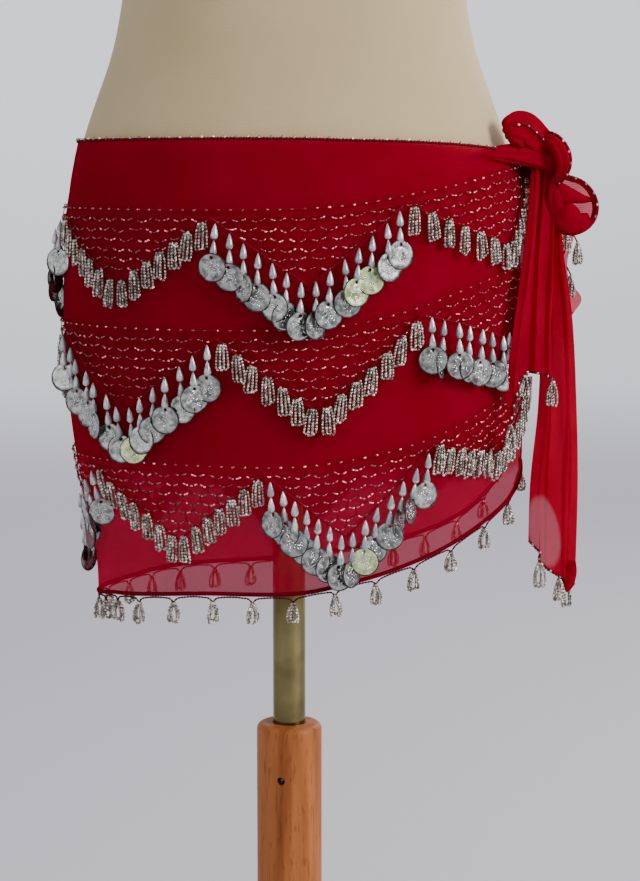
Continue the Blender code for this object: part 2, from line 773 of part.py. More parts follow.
def hanging_point(sections, share, height, out, folds, proud):
    """A point of a hanging piece: its share of the width, its height, and how far out it is."""

    def level(at):
        left = Vector((along(sections, height, 1), along(sections, height, 2), 0))
        right = Vector((along(sections, height, 3), along(sections, height, 4), 0))
        across = right - left
        forward = Vector((across.y, -across.x, 0)).normalized()
        return left + across * at + forward * proud * math.sin(2 * math.pi * folds * at)

    step = level(share + 0.005) - level(share - 0.005)
    normal = Vector((step.y, -step.x, 0)).normalized()
    point = level(share) + normal * out
    return Vector((point.x, point.y, height))


def build_hanging(group, name, sections, hem, folds, proud, tassels):
    """A folded end of the scarf that hangs from the knot, and the bead tassels at its hem."""
    columns, rows = max(round(folds * 9), 8), 8
    shares = [c / columns for c in range(columns + 1)]
    top = sections[-1][0]

    def grid(out):
        lines = []
        for r in range(rows + 1):
            line = []
            for share in shares:
                under = hanging_point(sections, share, top, 0, folds, proud)
                high = min(knot_under(under.x, under.y), top) - 2 * SEAM
                low = along(hem, share, 1)
                line.append(hanging_point(sections, share, low + (high - low) * r / rows, out, folds, proud))
            lines.append(line)
        return lines

    add_piece(group, name, slab(grid(-CLOTH), grid(0)), "chiffon")

    for number, share in enumerate(tassels, start=1):
        height = along(hem, share, 1) - 2 * SEAM
        top_point = hanging_point(sections, share, height, -CLOTH / 2, folds, proud)
        tassel(group, f"{name}_tassel_{number}", top_point)


def tassel(group, name, top_point):
    """A four-sided lock below a beaded edge, widest near its foot."""
    rows = []
    for down, half in TASSEL_LENGTHS:
        sides = ((half, 0), (0, half * 0.7), (-half, 0), (0, -half * 0.7))
        rows.append([top_point + Vector((x, y, -down)) for x, y in sides])
    add_piece(group, name, rings(rows), "beads")


def main():
    for old in list(bpy.data.objects):
        bpy.data.objects.remove(old)
    group = collection("belly_dance_hip_scarf")
    cutters = collection("cutters", shown=False)
    build_stand(group, cutters)
    build_form(group)
    build_wrap(group)
    for number, row in enumerate(NET_ROWS, start=1):
        build_net(group, number, row)
        build_fringes(group, number, row)
    build_hem(group)
    build_knot(group)
    build_bow(group)
    build_hanging(group, "front_flap", FLAP_SECTIONS, FLAP_HEM, 1.5, 0.0030, (0.0, 0.45, 1.0))
    build_hanging(group, "tail", TAIL_SECTIONS, TAIL_HEM, 2.0, 0.0035, (0.3, 0.6, 0.9))
    build_hanging(group, "back_flap", BACK_FLAP_SECTIONS, BACK_FLAP_HEM, 1.0, 0.0030, (0.3, 0.8))


main()
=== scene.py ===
"""Looks of the belly dance hip scarf and its dress form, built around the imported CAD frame.

Metres, +Z up, in the frame's own axes: the front of the hips faces -Y and the knot is at +X.
Places on the cloth are a turn round the hips or a distance along them, both from the middle of
the front towards the knot, and a height above the floor. Arrays hold many places at once.
"""

import math

import bpy
import numpy as np
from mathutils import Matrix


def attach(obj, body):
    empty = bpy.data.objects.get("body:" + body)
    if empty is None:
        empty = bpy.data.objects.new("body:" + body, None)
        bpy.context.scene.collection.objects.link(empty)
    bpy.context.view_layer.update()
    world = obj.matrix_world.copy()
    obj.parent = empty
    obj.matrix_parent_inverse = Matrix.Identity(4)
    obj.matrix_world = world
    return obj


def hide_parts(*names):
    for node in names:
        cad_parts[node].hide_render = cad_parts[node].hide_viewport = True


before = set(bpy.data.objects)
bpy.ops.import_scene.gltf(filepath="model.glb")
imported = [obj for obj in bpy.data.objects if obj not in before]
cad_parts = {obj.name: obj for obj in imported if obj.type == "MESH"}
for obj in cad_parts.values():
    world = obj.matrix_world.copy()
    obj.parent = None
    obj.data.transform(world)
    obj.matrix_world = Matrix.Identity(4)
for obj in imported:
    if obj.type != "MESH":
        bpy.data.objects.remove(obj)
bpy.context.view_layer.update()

# Walls and layers, as in the frame
CLOTH = 0.0015
SEAM = 0.0004
EASE = 0.0045
NET_OUT = 0.0012
FRINGE_OUT = 0.0030

# Stand
BASE_RADIUS = 0.180
BASE_HEIGHT = 0.030
BASE_EDGE = 0.010
BASE_CHAMFER = 0.002
COLUMN_RADIUS = 0.0240
COLUMN_TOP = 0.470
COLUMN_EDGE = 0.0050
POLE_RADIUS = 0.0120
POLE_BOTTOM = 0.3853
POLE_IN_FORM = 0.060
POLE_CHAMFER = 0.001
BORE_RADIUS = 0.0123
SCREW_HEIGHT = 0.431
SCREW_TURN = math.radians(-14.5)
SCREW_RADIUS = 0.0027
SCREW_HOLE = 0.0030
SCREW_SUNK = 0.0030
ROUND_STEPS = 72

# Dress form
FORM_X = 0.0045
FORM_BOTTOM = 0.670
FORM_EDGE = 0.012
FORM_TOP = 1.450
FORM_COLUMNS = 120
CAP_HEIGHT = 0.026
SQUARENESS = 0.03
BUST_HEIGHT = 1.215
BUST_TURN = math.radians(33)
BUST_PROUD = 0.026
BUST_SPREAD = 0.33
BUST_RISE = 0.055

# height, half width, depth in front of the middle, depth behind it
FORM_SECTIONS = (
    (0.670, 0.1570, 0.1145, 0.1160),
    (0.709, 0.1590, 0.1165, 0.1230),
    (0.767, 0.1620, 0.1175, 0.1290),
    (0.805, 0.1615, 0.1160, 0.1290),
    (0.843, 0.1595, 0.1130, 0.1235),
    (0.895, 0.1500, 0.1060, 0.1080),
    (0.925, 0.1400, 0.1000, 0.0980),
    (0.953, 0.1300, 0.0950, 0.0900),
    (0.981, 0.1235, 0.0920, 0.0850),
    (1.010, 0.1200, 0.0900, 0.0830),
    (1.050, 0.1215, 0.0910, 0.0850),
    (1.120, 0.1330, 0.0960, 0.0930),
    (1.190, 0.1450, 0.0990, 0.1020),
    (1.250, 0.1530, 0.0960, 0.1060),
    (1.300, 0.1590, 0.0880, 0.1030),
    (1.335, 0.1560, 0.0790, 0.0930),
    (1.358, 0.1320, 0.0690, 0.0800),
    (1.376, 0.0950, 0.0600, 0.0680),
    (1.394, 0.0640, 0.0540, 0.0600),
    (1.420, 0.0530, 0.0510, 0.0540),
    (1.450, 0.0510, 0.0500, 0.0520),
)

# The cloth below the form, with the same columns
SKIRT_SECTIONS = (
    (0.540, 0.1400, 0.1060, 0.1090),
    (0.566, 0.1425, 0.1080, 0.1110),
    (0.591, 0.1440, 0.1100, 0.1130),
    (0.636, 0.1505, 0.1140, 0.1170),
    (0.660, 0.1570, 0.1170, 0.1190),
)
WRAP_SECTIONS = SKIRT_SECTIONS + tuple(
    (row[0], *(size + EASE for size in row[1:])) for row in FORM_SECTIONS[1:10]
)

# turn in degrees, then the heights of the top edge, the three net rows' upper lines and the hem
LINES = (
    (-258, 0.886, 0.872, 0.800, 0.722, 0.650),
    (-235, 0.889, 0.862, 0.788, 0.700, 0.612),
    (-210, 0.892, 0.852, 0.774, 0.683, 0.587),
    (-180, 0.893, 0.849, 0.768, 0.676, 0.573),
    (-135, 0.893, 0.848, 0.767, 0.674, 0.569),
    (-90, 0.894, 0.848, 0.768, 0.675, 0.568),
    (-60, 0.895, 0.849, 0.769, 0.676, 0.577),
    (-30, 0.896, 0.849, 0.769, 0.677, 0.5845),
    (0, 0.896, 0.850, 0.770, 0.677, 0.587),
    (15, 0.895, 0.853, 0.774, 0.682, 0.594),
    (30, 0.894, 0.860, 0.784, 0.691, 0.603),
    (45, 0.892, 0.867, 0.797, 0.705, 0.615),
    (60, 0.889, 0.874, 0.806, 0.720, 0.630),
    (75, 0.887, 0.877, 0.808, 0.731, 0.643),
    (92, 0.886, 0.878, 0.812, 0.738, 0.664),
)
HEM_LINE = 4
GIRTH_HEIGHT = 0.767
FREE_EDGE_TURN = 92
FAR_EDGE_TURN = -258
WRAP_COLUMNS = 400
WRAP_ROWS = 120

# Net rows, with each triangle's ends from the knot to the far end of the cloth
NET_HEADER = 0.005
NET_ROWS = (
    {"ends": (0.208, 0.077, -0.056, -0.193, -0.345, -0.497, -0.650),
     "first_point": 0.165, "first_depth": 0.046, "depth": 0.046, "first": "loop"},
    {"ends": (0.222, 0.088, -0.052, -0.189, -0.342, -0.496, -0.650),
     "first_point": 0.158, "first_depth": 0.039, "depth": 0.052, "first": "coin"},
    {"ends": (0.222, 0.100, -0.020, -0.157, -0.280, -0.403, -0.526, -0.650),
     "first_point": 0.164, "first_depth": 0.035, "depth": 0.048, "first": "loop"},
)
SCALE_WIDTH = 0.0135
SCALE_DROP = 0.0066
SCALE_SAG = 0.0029
THREAD = 0.00036
EDGE_CORD = 0.00065
TOP_CORD = 0.00095
FLAP_CORD = 0.0009
HEM_CORD = 0.0006
HEM_ROLL = 0.0016
STITCH = 0.0024
NET_BEAD = (0.0021, 0.00064)
HEADER_BEAD_PITCH = 0.0084
SEED_BEAD = (0.0021, 0.00095)

# Fringe and tassels
COIN_DROPS = 14
COIN_RADIUS = 0.0095
COIN_THICK = 0.0009
COIN_STROKES = 20
# Thickness of the dark ring round each coin's edge, which is painted shade
SHADE_RING = 0.00046
STROKE = 0.00036
# Degrees that coins face aside by chance, the share that is turned further and by how much
COIN_FACING = 16
TURNED_SHARE = 0.12
COIN_TURNED = 44
DROP_THREAD = 0.00028
TEARDROP = (0.0104, 0.0026)
LOOP_TASSELS = 14
NARROW_TRIANGLE = 0.11
LOOPS_EACH = 3
LOOP_DROP = 0.0180
LOOP_HALF = 0.00125
LOOP_APART = 0.0026
HEM_TASSEL_PITCH = 0.0330
HEM_TASSEL_DROP = 0.0180
HEM_TASSEL_SPREAD = 0.0052
HEM_TASSEL_LOOPS = 4
# Coins by their number in a fringe, from the knot: those that catch a pale light, those in painted red shade
# where they hang behind the edge of the cloth, and those that lie flat under the front flap
LIT_COINS = {"coin_fringe_1_2": (2, 3), "coin_fringe_2_3": (6,), "coin_fringe_3_2": (5,)}
SHADED_COINS = {"coin_fringe_3_4": (3, 5)}
FLAT_COINS = {"coin_fringe_2_1": (0, 1, 2, 3, 4, 5)}

# Soft folds of the wrap
GATHER_PROUD = 0.0018
GATHER_RAYS = 8
GATHER_PLACE = 0.236
GATHER_HEIGHT = 0.882
KNOT_PULL = 0.0062
HEM_WAVE = 0.0026
HEM_WAVES = 7
HEM_FLARE = 0.0095

# Knot, bow and hanging ends
KNOT_CENTRE = np.array((0.1812, -0.012, 0.8840))
KNOT_RADII = np.array((0.0192, 0.026, 0.0200))
CORE_SHARE = 0.92
LOBE_END = 0.35
DOWN = (0, 0, -1.0)

# Lobes of gathered cloth: x, y, z and half height of the lobe
OVER_LOBE = (
    (0.1513, -0.0545, 0.9005, 0.0078),
    (0.1560, -0.0500, 0.9018, 0.0126),
    (0.1620, -0.0450, 0.9020, 0.0140),
    (0.1680, -0.0400, 0.8990, 0.0134),
    (0.1745, -0.0350, 0.8945, 0.0118),
    (0.1810, -0.0300, 0.8890, 0.0104),
    (0.1870, -0.0240, 0.8815, 0.0086),
    (0.1900, -0.0190, 0.8735, 0.0055),
)
UNDER_LOBE = (
    (0.1250, -0.0730, 0.8850, 0.0012),
    (0.1360, -0.0655, 0.8860, 0.0034),
    (0.1450, -0.0590, 0.8864, 0.0052),
    (0.1540, -0.0520, 0.8864, 0.0066),
    (0.1650, -0.0432, 0.8850, 0.0072),
    (0.1760, -0.0345, 0.8815, 0.0060),
    (0.1850, -0.0290, 0.8780, 0.0040),
)
# The back end of the cloth, gathered from its corner into the knot
BACK_LOBE = (
    (0.1490, 0.0435, 0.8835, 0.0030),
    (0.1565, 0.0310, 0.8820, 0.0070),
    (0.1640, 0.0200, 0.8800, 0.0085),
    (0.1720, 0.0090, 0.8800, 0.0080),
    (0.1790, -0.0020, 0.8820, 0.0060),
)
RIGHT_LOBE = (
    (0.1770, -0.0370, 0.8990, 0.0036),
    (0.1850, -0.0390, 0.8950, 0.0058),
    (0.1910, -0.0380, 0.8875, 0.0062),
    (0.1930, -0.0360, 0.8785, 0.0056),
    (0.1900, -0.0340, 0.8700, 0.0044),
    (0.1840, -0.0320, 0.8650, 0.0026),
)
# Cloth of the wrap drawn in behind the flap, coloured in painted shade, and the gathered tip of the tail
KNOT_GATHER = (
    (0.1630, -0.0230, 0.8860, 0.0060),
    (0.1655, -0.0240, 0.8720, 0.0082),
    (0.1645, -0.0250, 0.8560, 0.0080),
    (0.1625, -0.0250, 0.8400, 0.0070),
    (0.1605, -0.0250, 0.8240, 0.0055),
    (0.1585, -0.0250, 0.8080, 0.0030),
)
TAIL_GATHER = (
    (0.2065, -0.0110, 0.5930, 0.0028),
    (0.2048, -0.0125, 0.5850, 0.0052),
    (0.2020, -0.0140, 0.5775, 0.0060),
    (0.1995, -0.0150, 0.5710, 0.0032),
)
BOW_LEFT = (
    (0.1862, -0.0300, 0.8690, 0.0030),
    (0.1868, -0.0340, 0.8580, 0.0055),
    (0.1875, -0.0340, 0.8450, 0.0058),
    (0.1900, -0.0310, 0.8350, 0.0035),
)
BOW_WEDGE = (
    (0.1880, -0.0330, 0.8600, 0.0078),
    (0.1960, -0.0340, 0.8578, 0.0058),
    (0.2060, -0.0320, 0.8548, 0.0034),
    (0.2145, -0.0290, 0.8538, 0.0012),
)
BOW_BOTTOM = (
    (0.1870, -0.0310, 0.8480, 0.0070),
    (0.1940, -0.0345, 0.8425, 0.0108),
    (0.2040, -0.0335, 0.8388, 0.0082),
    (0.2120, -0.0300, 0.8410, 0.0044),
)
BOW_RIM = (
    (0.1895, -0.0300, 0.8738, 0.0020),
    (0.1960, -0.0310, 0.8698, 0.0022),
    (0.2059, -0.0310, 0.8662, 0.0021),
    (0.2132, -0.0300, 0.8590, 0.0022),
    (0.2165, -0.0290, 0.8500, 0.0024),
    (0.2150, -0.0290, 0.8405, 0.0023),
    (0.2085, -0.0300, 0.8335, 0.0022),
    (0.1996, -0.0300, 0.8302, 0.0018),
    (0.1910, -0.0300, 0.8318, 0.0014),
)
# The bow's pouch: x and z round its mouth, its middle and how far back it reaches
BOW_MOUTH = (
    (0.1890, 0.8745), (0.1960, 0.8700), (0.2059, 0.8662), (0.2130, 0.8590), (0.2163, 0.8503),
    (0.2150, 0.8403), (0.2087, 0.8335), (0.1996, 0.8302), (0.1904, 0.8322), (0.1855, 0.8403),
    (0.1848, 0.8531), (0.1862, 0.8652),
)
BOW_MIDDLE = (0.2000, 0.8510)
BOW_FRONT = -0.0300
BOW_DEEP = 0.0170

# height, x and y of one side, x and y of the other side
FLAP_SECTIONS = (
    (0.700, 0.1545, -0.0760, 0.1880, -0.0500),
    (0.725, 0.1510, -0.0750, 0.1870, -0.0470),
    (0.758, 0.1550, -0.0720, 0.1855, -0.0440),
    (0.799, 0.1610, -0.0630, 0.1855, -0.0390),
    (0.833, 0.1655, -0.0540, 0.1860, -0.0330),
    (0.875, 0.1705, -0.0330, 0.1890, -0.0230),
)
TAIL_SECTIONS = (
    (0.570, 0.1715, -0.0360, 0.2085, -0.0080),
    (0.650, 0.1720, -0.0360, 0.2095, -0.0080),
    (0.710, 0.1775, -0.0330, 0.2078, -0.0060),
    (0.770, 0.1790, -0.0280, 0.2040, -0.0050),
    (0.820, 0.1780, -0.0220, 0.1965, -0.0050),
    (0.870, 0.1770, -0.0160, 0.1930, -0.0050),
)
BACK_FLAP_SECTIONS = (
    (0.760, 0.1850, 0.0160, 0.2050, 0.0300),
    (0.768, 0.1850, 0.0160, 0.2080, 0.0310),
    (0.780, 0.1850, 0.0150, 0.2155, 0.0350),
    (0.793, 0.1850, 0.0140, 0.2060, 0.0300),
    (0.809, 0.1845, 0.0130, 0.2037, 0.0270),
    (0.828, 0.1830, 0.0110, 0.2080, 0.0270),
    (0.850, 0.1790, 0.0060, 0.2020, 0.0190),
    (0.870, 0.1760, 0.0020, 0.1930, 0.0080),
)
# share of the width, height of the lower edge
FLAP_HEM = ((0.0, 0.7010), (0.2, 0.7260), (0.5, 0.7350), (1.0, 0.7290))
TAIL_HEM = ((0.0, 0.6120), (0.25, 0.5980), (0.6, 0.5830), (1.0, 0.5740))
BACK_FLAP_HEM = ((0.0, 0.7850), (0.5, 0.7740), (1.0, 0.7690))
# Crisp pleats of the hanging ends: share of the width, rise and half width as a share
FLAP_PLEATS = ((0.12, 0.0012, 0.08), (0.36, 0.0016, 0.10), (0.60, 0.0030, 0.09), (0.82, 0.0028, 0.08))
TAIL_PLEATS = ((0.14, 0.0016, 0.09), (0.42, 0.0024, 0.10), (0.66, 0.0028, 0.09), (0.90, 0.0018, 0.08))
BACK_PLEATS = ((0.5, 0.0015, 0.08),)
PLEAT_STEEP = 0.3
# Tops of the tassels that hang from the corners behind the bow
BACK_TASSELS = ((0.2108, 0.0270, 0.8212), (0.2020, 0.0220, 0.8293), (0.2064, 0.0290, 0.7977))

# Studio
FLOOR_FLAT = 4.0
FLOOR_CURVE = 5.0
CAMERA_PLACE = (0.02268, -1.6, 0.892)
CAMERA_DOWN = 7.57
CAMERA_LENS = 90.8
CAMERA_SENSOR = 36
# name, place, size across, power, what it points at
LAMPS = (
    ("key", (2.9, -1.5, 2.2), 1.3, 150, (0.02, 0, 0.85)),
    ("fill", (-2.6, -2.2, 1.7), 2.2, 20, (0, 0, 0.8)),
    ("rim", (1.8, 2.4, 2.4), 1.4, 45, (0, 0, 0.9)),
    ("wall", (0.0, 4.0, 4.2), 2.5, 64, (0, 9, 2.0)),
)

dice = np.random.default_rng(7)


# Curves and places on the cloth

def along(rows, at, column):
    """A column of a table at values of its first column, on a smooth curve through the rows."""
    keys = np.array([row[0] for row in rows])
    values = np.array([row[column] for row in rows])
    at = np.clip(at, keys[0], keys[-1])
    k = np.clip(np.searchsorted(keys, at, side="right") - 1, 0, len(keys) - 2)
    low = np.maximum(np.arange(len(keys)) - 1, 0)
    high = np.minimum(np.arange(len(keys)) + 1, len(keys) - 1)
    slopes = (values[high] - values[low]) / (keys[high] - keys[low])
    span = keys[k + 1] - keys[k]
    t = (at - keys[k]) / span
    return (
        values[k] * (2 * t**3 - 3 * t**2 + 1)
        + slopes[k] * span * (t**3 - 2 * t**2 + t)
        + values[k + 1] * (3 * t**2 - 2 * t**3)
        + slopes[k + 1] * span * (t**3 - t**2)
    )


def through(rows, at):
    """Points on a smooth curve through rows of numbers, where at counts the rows from 0."""
    table = [(k, *row) for k, row in enumerate(rows)]
    return np.column_stack([along(table, at, column) for column in range(1, len(table[0]))])


def unit(vectors):
    """The vectors at a length of 1."""
    return vectors / np.maximum(np.linalg.norm(vectors, axis=-1, keepdims=True), 1e-12)


def oval(sections, turn, height):
    """Level points of a body's sections at these turns and heights."""
    half_width = along(sections, height, 1)
    depth = np.where(np.cos(turn) > 0, along(sections, height, 2), along(sections, height, 3))
    square = 1 + SQUARENESS * np.sin(2 * turn) ** 2
    return np.stack((FORM_X + half_width * np.sin(turn) * square, -depth * np.cos(turn) * square), -1)


def oval_out(sections, turn, height):
    """The level directions out of the sections."""
    step = oval(sections, turn + 0.01, height) - oval(sections, turn - 0.01, height)
    return unit(np.stack((step[..., 1], -step[..., 0]), -1))


def girth_table():
    """Turns in degrees and how far along the hips each is from the middle of the front."""
    turns = np.arange(-280, 121, 2)
    points = oval(WRAP_SECTIONS, np.radians(turns), GIRTH_HEIGHT)
    steps = np.linalg.norm(np.diff(points, axis=0), axis=1)
    places = np.concatenate(([0.0], np.cumsum(steps)))
    places -= places[list(turns).index(0)]
    return tuple(zip(places.tolist(), turns.tolist()))


GIRTH = girth_table()
PLACES = tuple((turn, place) for place, turn in GIRTH)


def turn_at(place):
    """The turn in radians at a distance along the hips."""
    return np.radians(along(GIRTH, place, 1))


def place_at(turn):
    """The distance along the hips at a turn in radians."""
    return along(PLACES, np.degrees(turn), 1)


def line_height(turn, level):
    """Height of the cloth at a level: 0 is the top edge, 1 to 3 the net rows and 4 the hem."""
    turn, level = np.broadcast_arrays(np.asarray(turn, float), np.asarray(level, float))
    heights = np.stack([along(LINES, np.degrees(turn), k + 1) for k in range(HEM_LINE + 1)], -1)
    low = np.clip(level.astype(int), 0, HEM_LINE - 1)[..., None]
    start = np.take_along_axis(heights, low, -1)[..., 0]
    end = np.take_along_axis(heights, low + 1, -1)[..., 0]
    return start + (end - start) * (level - low[..., 0])


def bump(value, start, peak, end):
    """Rises smoothly from 0 at start to 1 at peak, and falls to 0 at end."""
    value = np.asarray(value, float)
    share = np.where(value < peak, (value - start) / (peak - start), (end - value) / (end - peak))
    share = np.clip(share, 0, 1)
    return share * share * (3 - 2 * share)


def fold_out(turn, height):
    """How far the frame's own folds stand out: the knot's gathers, the hem's waves and its flare."""
    fall, run = height - GATHER_HEIGHT, place_at(turn) - GATHER_PLACE
    ray = np.arctan2(fall, run)
    gather = bump(np.hypot(fall, run), 0.040, 0.075, 0.150)
    out = GATHER_PROUD * gather * (0.5 + 0.5 * np.cos(GATHER_RAYS * ray))
    loose = np.clip((FORM_BOTTOM - height) / 0.10, 0.0, 1.0)
    pulled = bump(np.degrees(turn), 45, 88, 140) * bump(height, 0.53, 0.635, 0.73)
    return out + HEM_WAVE * loose * np.sin(HEM_WAVES * turn + 0.6) + HEM_FLARE * pulled


# Soft creases of the wrap: place and height of one end, of the other end, half width, rise
CREASES = (
    (0.226, 0.886, 0.070, 0.893, 0.0032, 0.0030),
    (0.226, 0.881, 0.090, 0.884, 0.0030, -0.0022),
    (0.226, 0.879, 0.080, 0.873, 0.0038, 0.0030),
    (0.150, 0.889, -0.060, 0.884, 0.0050, -0.0008),
    (0.100, 0.868, -0.010, 0.862, 0.0060, 0.0008),
    (-0.030, 0.890, -0.200, 0.876, 0.0060, 0.0008),
    (-0.120, 0.866, -0.230, 0.858, 0.0060, -0.0007),
    (-0.300, 0.886, -0.480, 0.874, 0.0065, 0.0010),
    (-0.420, 0.862, -0.600, 0.874, 0.0065, 0.0010),
    (-0.500, 0.884, -0.660, 0.880, 0.0060, 0.0010),
    (-0.110, 0.585, -0.060, 0.640, 0.0070, 0.0016),
    (-0.060, 0.590, -0.035, 0.655, 0.0060, -0.0010),
    (0.120, 0.625, 0.175, 0.720, 0.0080, -0.0012),
    (0.150, 0.770, 0.215, 0.840, 0.0060, -0.0008),
    (0.060, 0.590, 0.090, 0.650, 0.0090, 0.0012),
)


def crease_out(turn, height):
    """How far the soft creases stand out of the frame's wrap, and its pull towards the knot."""
    place = place_at(turn)
    height = np.asarray(height, float)
    out = KNOT_PULL * bump(np.degrees(turn), 60, 90, 124) * bump(height, 0.69, 0.845, 0.905)
    for x0, z0, x1, z1, half, rise in CREASES:
        run, fall = x1 - x0, z1 - z0
        length = math.hypot(run, fall)
        share = ((place - x0) * run + (height - z0) * fall) / length**2
        off = np.abs((place - x0) * fall - (height - z0) * run) / length
        out = out + rise * bump(share, -0.15, 0.5, 1.15) * np.exp(-((off / half) ** 2))
    return out


def on_wrap(turn, height, out):
    """Points this far out of the dressed wrap's outer face."""
    turn, height = np.asarray(turn, float), np.asarray(height, float)
    level = oval(WRAP_SECTIONS, turn, height)
    stand = fold_out(turn, height) + crease_out(turn, height) + out
    level = level + oval_out(WRAP_SECTIONS, turn, height) * stand[..., None]
    return np.concatenate((level, np.broadcast_to(height, level.shape[:-1])[..., None]), -1)


def on_line(turn, level, up, out):
    """Points on the cloth this far above its line at a level, and out of its face."""
    return on_wrap(turn, line_height(turn, level) + up, out)


def in_row(number, place, down, out):
    """Points at places along the hips and depths below the line of a net row or the hem."""
    return on_line(turn_at(place), number, -down, out)


# Mesh building

def finish_piece(name, shape, look, nodes=()):
    """Puts a mesh or a batch in the scene as a piece on the frame's only body."""
    mesh = shape.mesh(name) if isinstance(shape, Batch) else shape
    mesh.validate()
    mesh.shade_smooth()
    made = bpy.data.objects.new(name, mesh)
    bpy.context.scene.collection.objects.link(made)
    mesh.materials.append(LOOKS[look])
    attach(made, "root")
    if nodes:
        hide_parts(*nodes)
    return made


def mesh_of(name, points, faces):
    """A mesh from an array of points and a list of faces."""
    mesh = bpy.data.meshes.new(name)
    mesh.from_pydata(np.asarray(points, float).reshape(-1, 3).tolist(), [], faces)
    return mesh


def even_turns(count):
    """Turns that share out a full round."""
    return np.arange(count) * 2 * np.pi / count


def grid_faces(rows, columns, round_row=False, start=0):
    """Faces of a grid of points. With round_row each row closes on itself."""
    faces = []
    for r in range(rows - 1):
        for c in range(columns if round_row else columns - 1):
            after = (c + 1) % columns
            low, high = start + r * columns, start + (r + 1) * columns
            faces.append((low + c, low + after, high + after, high + c))
    return faces


def closed_faces(rows, sides):
    """Faces of rings of points, with a flat face on the first and the last ring."""
    first, last = tuple(range(sides))[::-1], tuple(range((rows - 1) * sides, rows * sides))
    return [*grid_faces(rows, sides, round_row=True), first, last]


class Batch:
    """Collects many small closed forms for one mesh."""

    def __init__(self):
        self.points, self.faces, self.count = [], [], 0

    def add(self, points, faces):
        """Adds points and faces that count from 0."""
        points = np.asarray(points, float).reshape(-1, 3)
        self.points.append(points)
        self.faces += [tuple(k + self.count for k in face) for face in faces]
        self.count += len(points)

    def tube(self, line, radius, sides=5):
        """Adds a closed tube along a line of points, its radius one number or one for each point."""
        line = np.asarray(line, float)
        ahead = unit(np.gradient(line, axis=0))
        side = np.cross(ahead[0], (0.13, -0.95, 0.29))
        rings = []
        turns = even_turns(sides)
        for point, way, size in zip(line, ahead, np.broadcast_to(radius, len(line))):
            side = unit(side - way * np.dot(side, way))
            up = np.cross(way, side)
            rings.append(point + size * (np.outer(np.cos(turns), side) + np.outer(np.sin(turns), up)))
        self.add(np.concatenate(rings), closed_faces(len(line), sides))

    def many(self, form, centres, axes, length, width):
        """Adds a copy of a form at each centre, its own Z along the axis there, turned by chance."""
        points, faces = form
        centres = np.asarray(centres, float).reshape(-1, 3)
        axes = unit(np.asarray(axes, float).reshape(-1, 3))
        if not len(centres):
            return
        spins = dice.uniform(0, 2 * np.pi, len(centres))
        helper = np.where(np.abs(axes[:, 1:2]) > 0.9, (1.0, 0.0, 0.0), (0.0, -1.0, 0.0))
        side = unit(np.cross(helper, axes))
        front = np.cross(axes, side)
        first = side * np.cos(spins)[:, None] + front * np.sin(spins)[:, None]
        second = np.cross(axes, first)
        across = points[None, :, 0:1] * first[:, None, :] + points[None, :, 1:2] * second[:, None, :]
        placed = centres[:, None, :] + width * across + length * points[None, :, 2:3] * axes[:, None, :]
        for copy in placed:
            self.add(copy, faces)

    def string(self, centres):
        """Adds the fringe's round seed beads along a line of their middles."""
        self.many(ROUND_BEAD, centres, np.gradient(centres, axis=0), *SEED_BEAD)

    def mesh(self, name):
        """The mesh of everything that was added."""
        return mesh_of(name, np.concatenate(self.points), self.faces)


def pointed_faces(rows, sides):
    """Faces of rings of points between a first and a last point."""
    last, foot = 1 + rows * sides, 1 + (rows - 1) * sides
    faces = [(0, 1 + (c + 1) % sides, 1 + c) for c in range(sides)]
    faces += grid_faces(rows, sides, round_row=True, start=1)
    return faces + [(foot + c, foot + (c + 1) % sides, last) for c in range(sides)]


def turned_form(profile, sides):
    """A small closed form turned from a profile of radius and height, with a point at each end."""
    points = [(0.0, 0.0, profile[0][1])]
    for radius, height in profile[1:-1]:
        points += [(radius * math.cos(t), radius * math.sin(t), height) for t in even_turns(sides)]
    points.append((0.0, 0.0, profile[-1][1]))
    return np.array(points), pointed_faces(len(profile) - 2, sides)


ROUND_BEAD = turned_form(((0, -0.5), (0.95, -0.34), (0.95, 0.34), (0, 0.5)), 5)
LONG_BEAD = turned_form(((0, -0.5), (0.72, -0.40), (1.0, 0.0), (0.72, 0.40), (0, 0.5)), 6)
DROP_BEAD = turned_form((
    (0, -0.5), (0.60, -0.49), (0.95, -0.38), (1.0, -0.24), (0.76, 0.06), (0.42, 0.32), (0.15, 0.49),
    (0, 0.5),
), 10)


def coin_form():
    """A stamped coin facing +X of its own axes, hung by the hole near its upper edge.

    Its face is a grid between the hole and the rim, sunk a little inside the smooth rim.
    """
    sides, steps, hole, hole_up, sunk_to = 36, 9, 0.115, 0.74, 0.72
    turns = even_turns(sides)
    outer = np.column_stack((np.cos(turns), np.sin(turns)))
    inner = outer * hole + (0, hole_up)
    points = []
    for share in np.linspace(0, 1, steps):
        ring = inner + (outer - inner) * share
        relief = 0.05 * np.sin(9 * ring[:, 0]) * np.cos(8 * ring[:, 1])
        lift = np.where(np.hypot(ring[:, 0], ring[:, 1]) > sunk_to, 0.62, 0.30) + relief
        points.append(np.column_stack((lift, ring)))
    for ring in (outer, inner):
        points.append(np.column_stack((np.full(sides, -0.5), ring)))
    faces = grid_faces(steps + 2, sides, round_row=True)
    last = (steps + 1) * sides
    faces += [(last + c, last + (c + 1) % sides, (c + 1) % sides, c) for c in range(sides)]
    return np.concatenate(points), faces


def stitches(count):
    """How a crocheted chain swells along its points, four to a stitch."""
    return 1 + 0.30 * np.cos(np.arange(count) * np.pi / 2)


# Materials

def grey(value):
    """A colour with the same red, green and blue."""
    return (value,) * 3


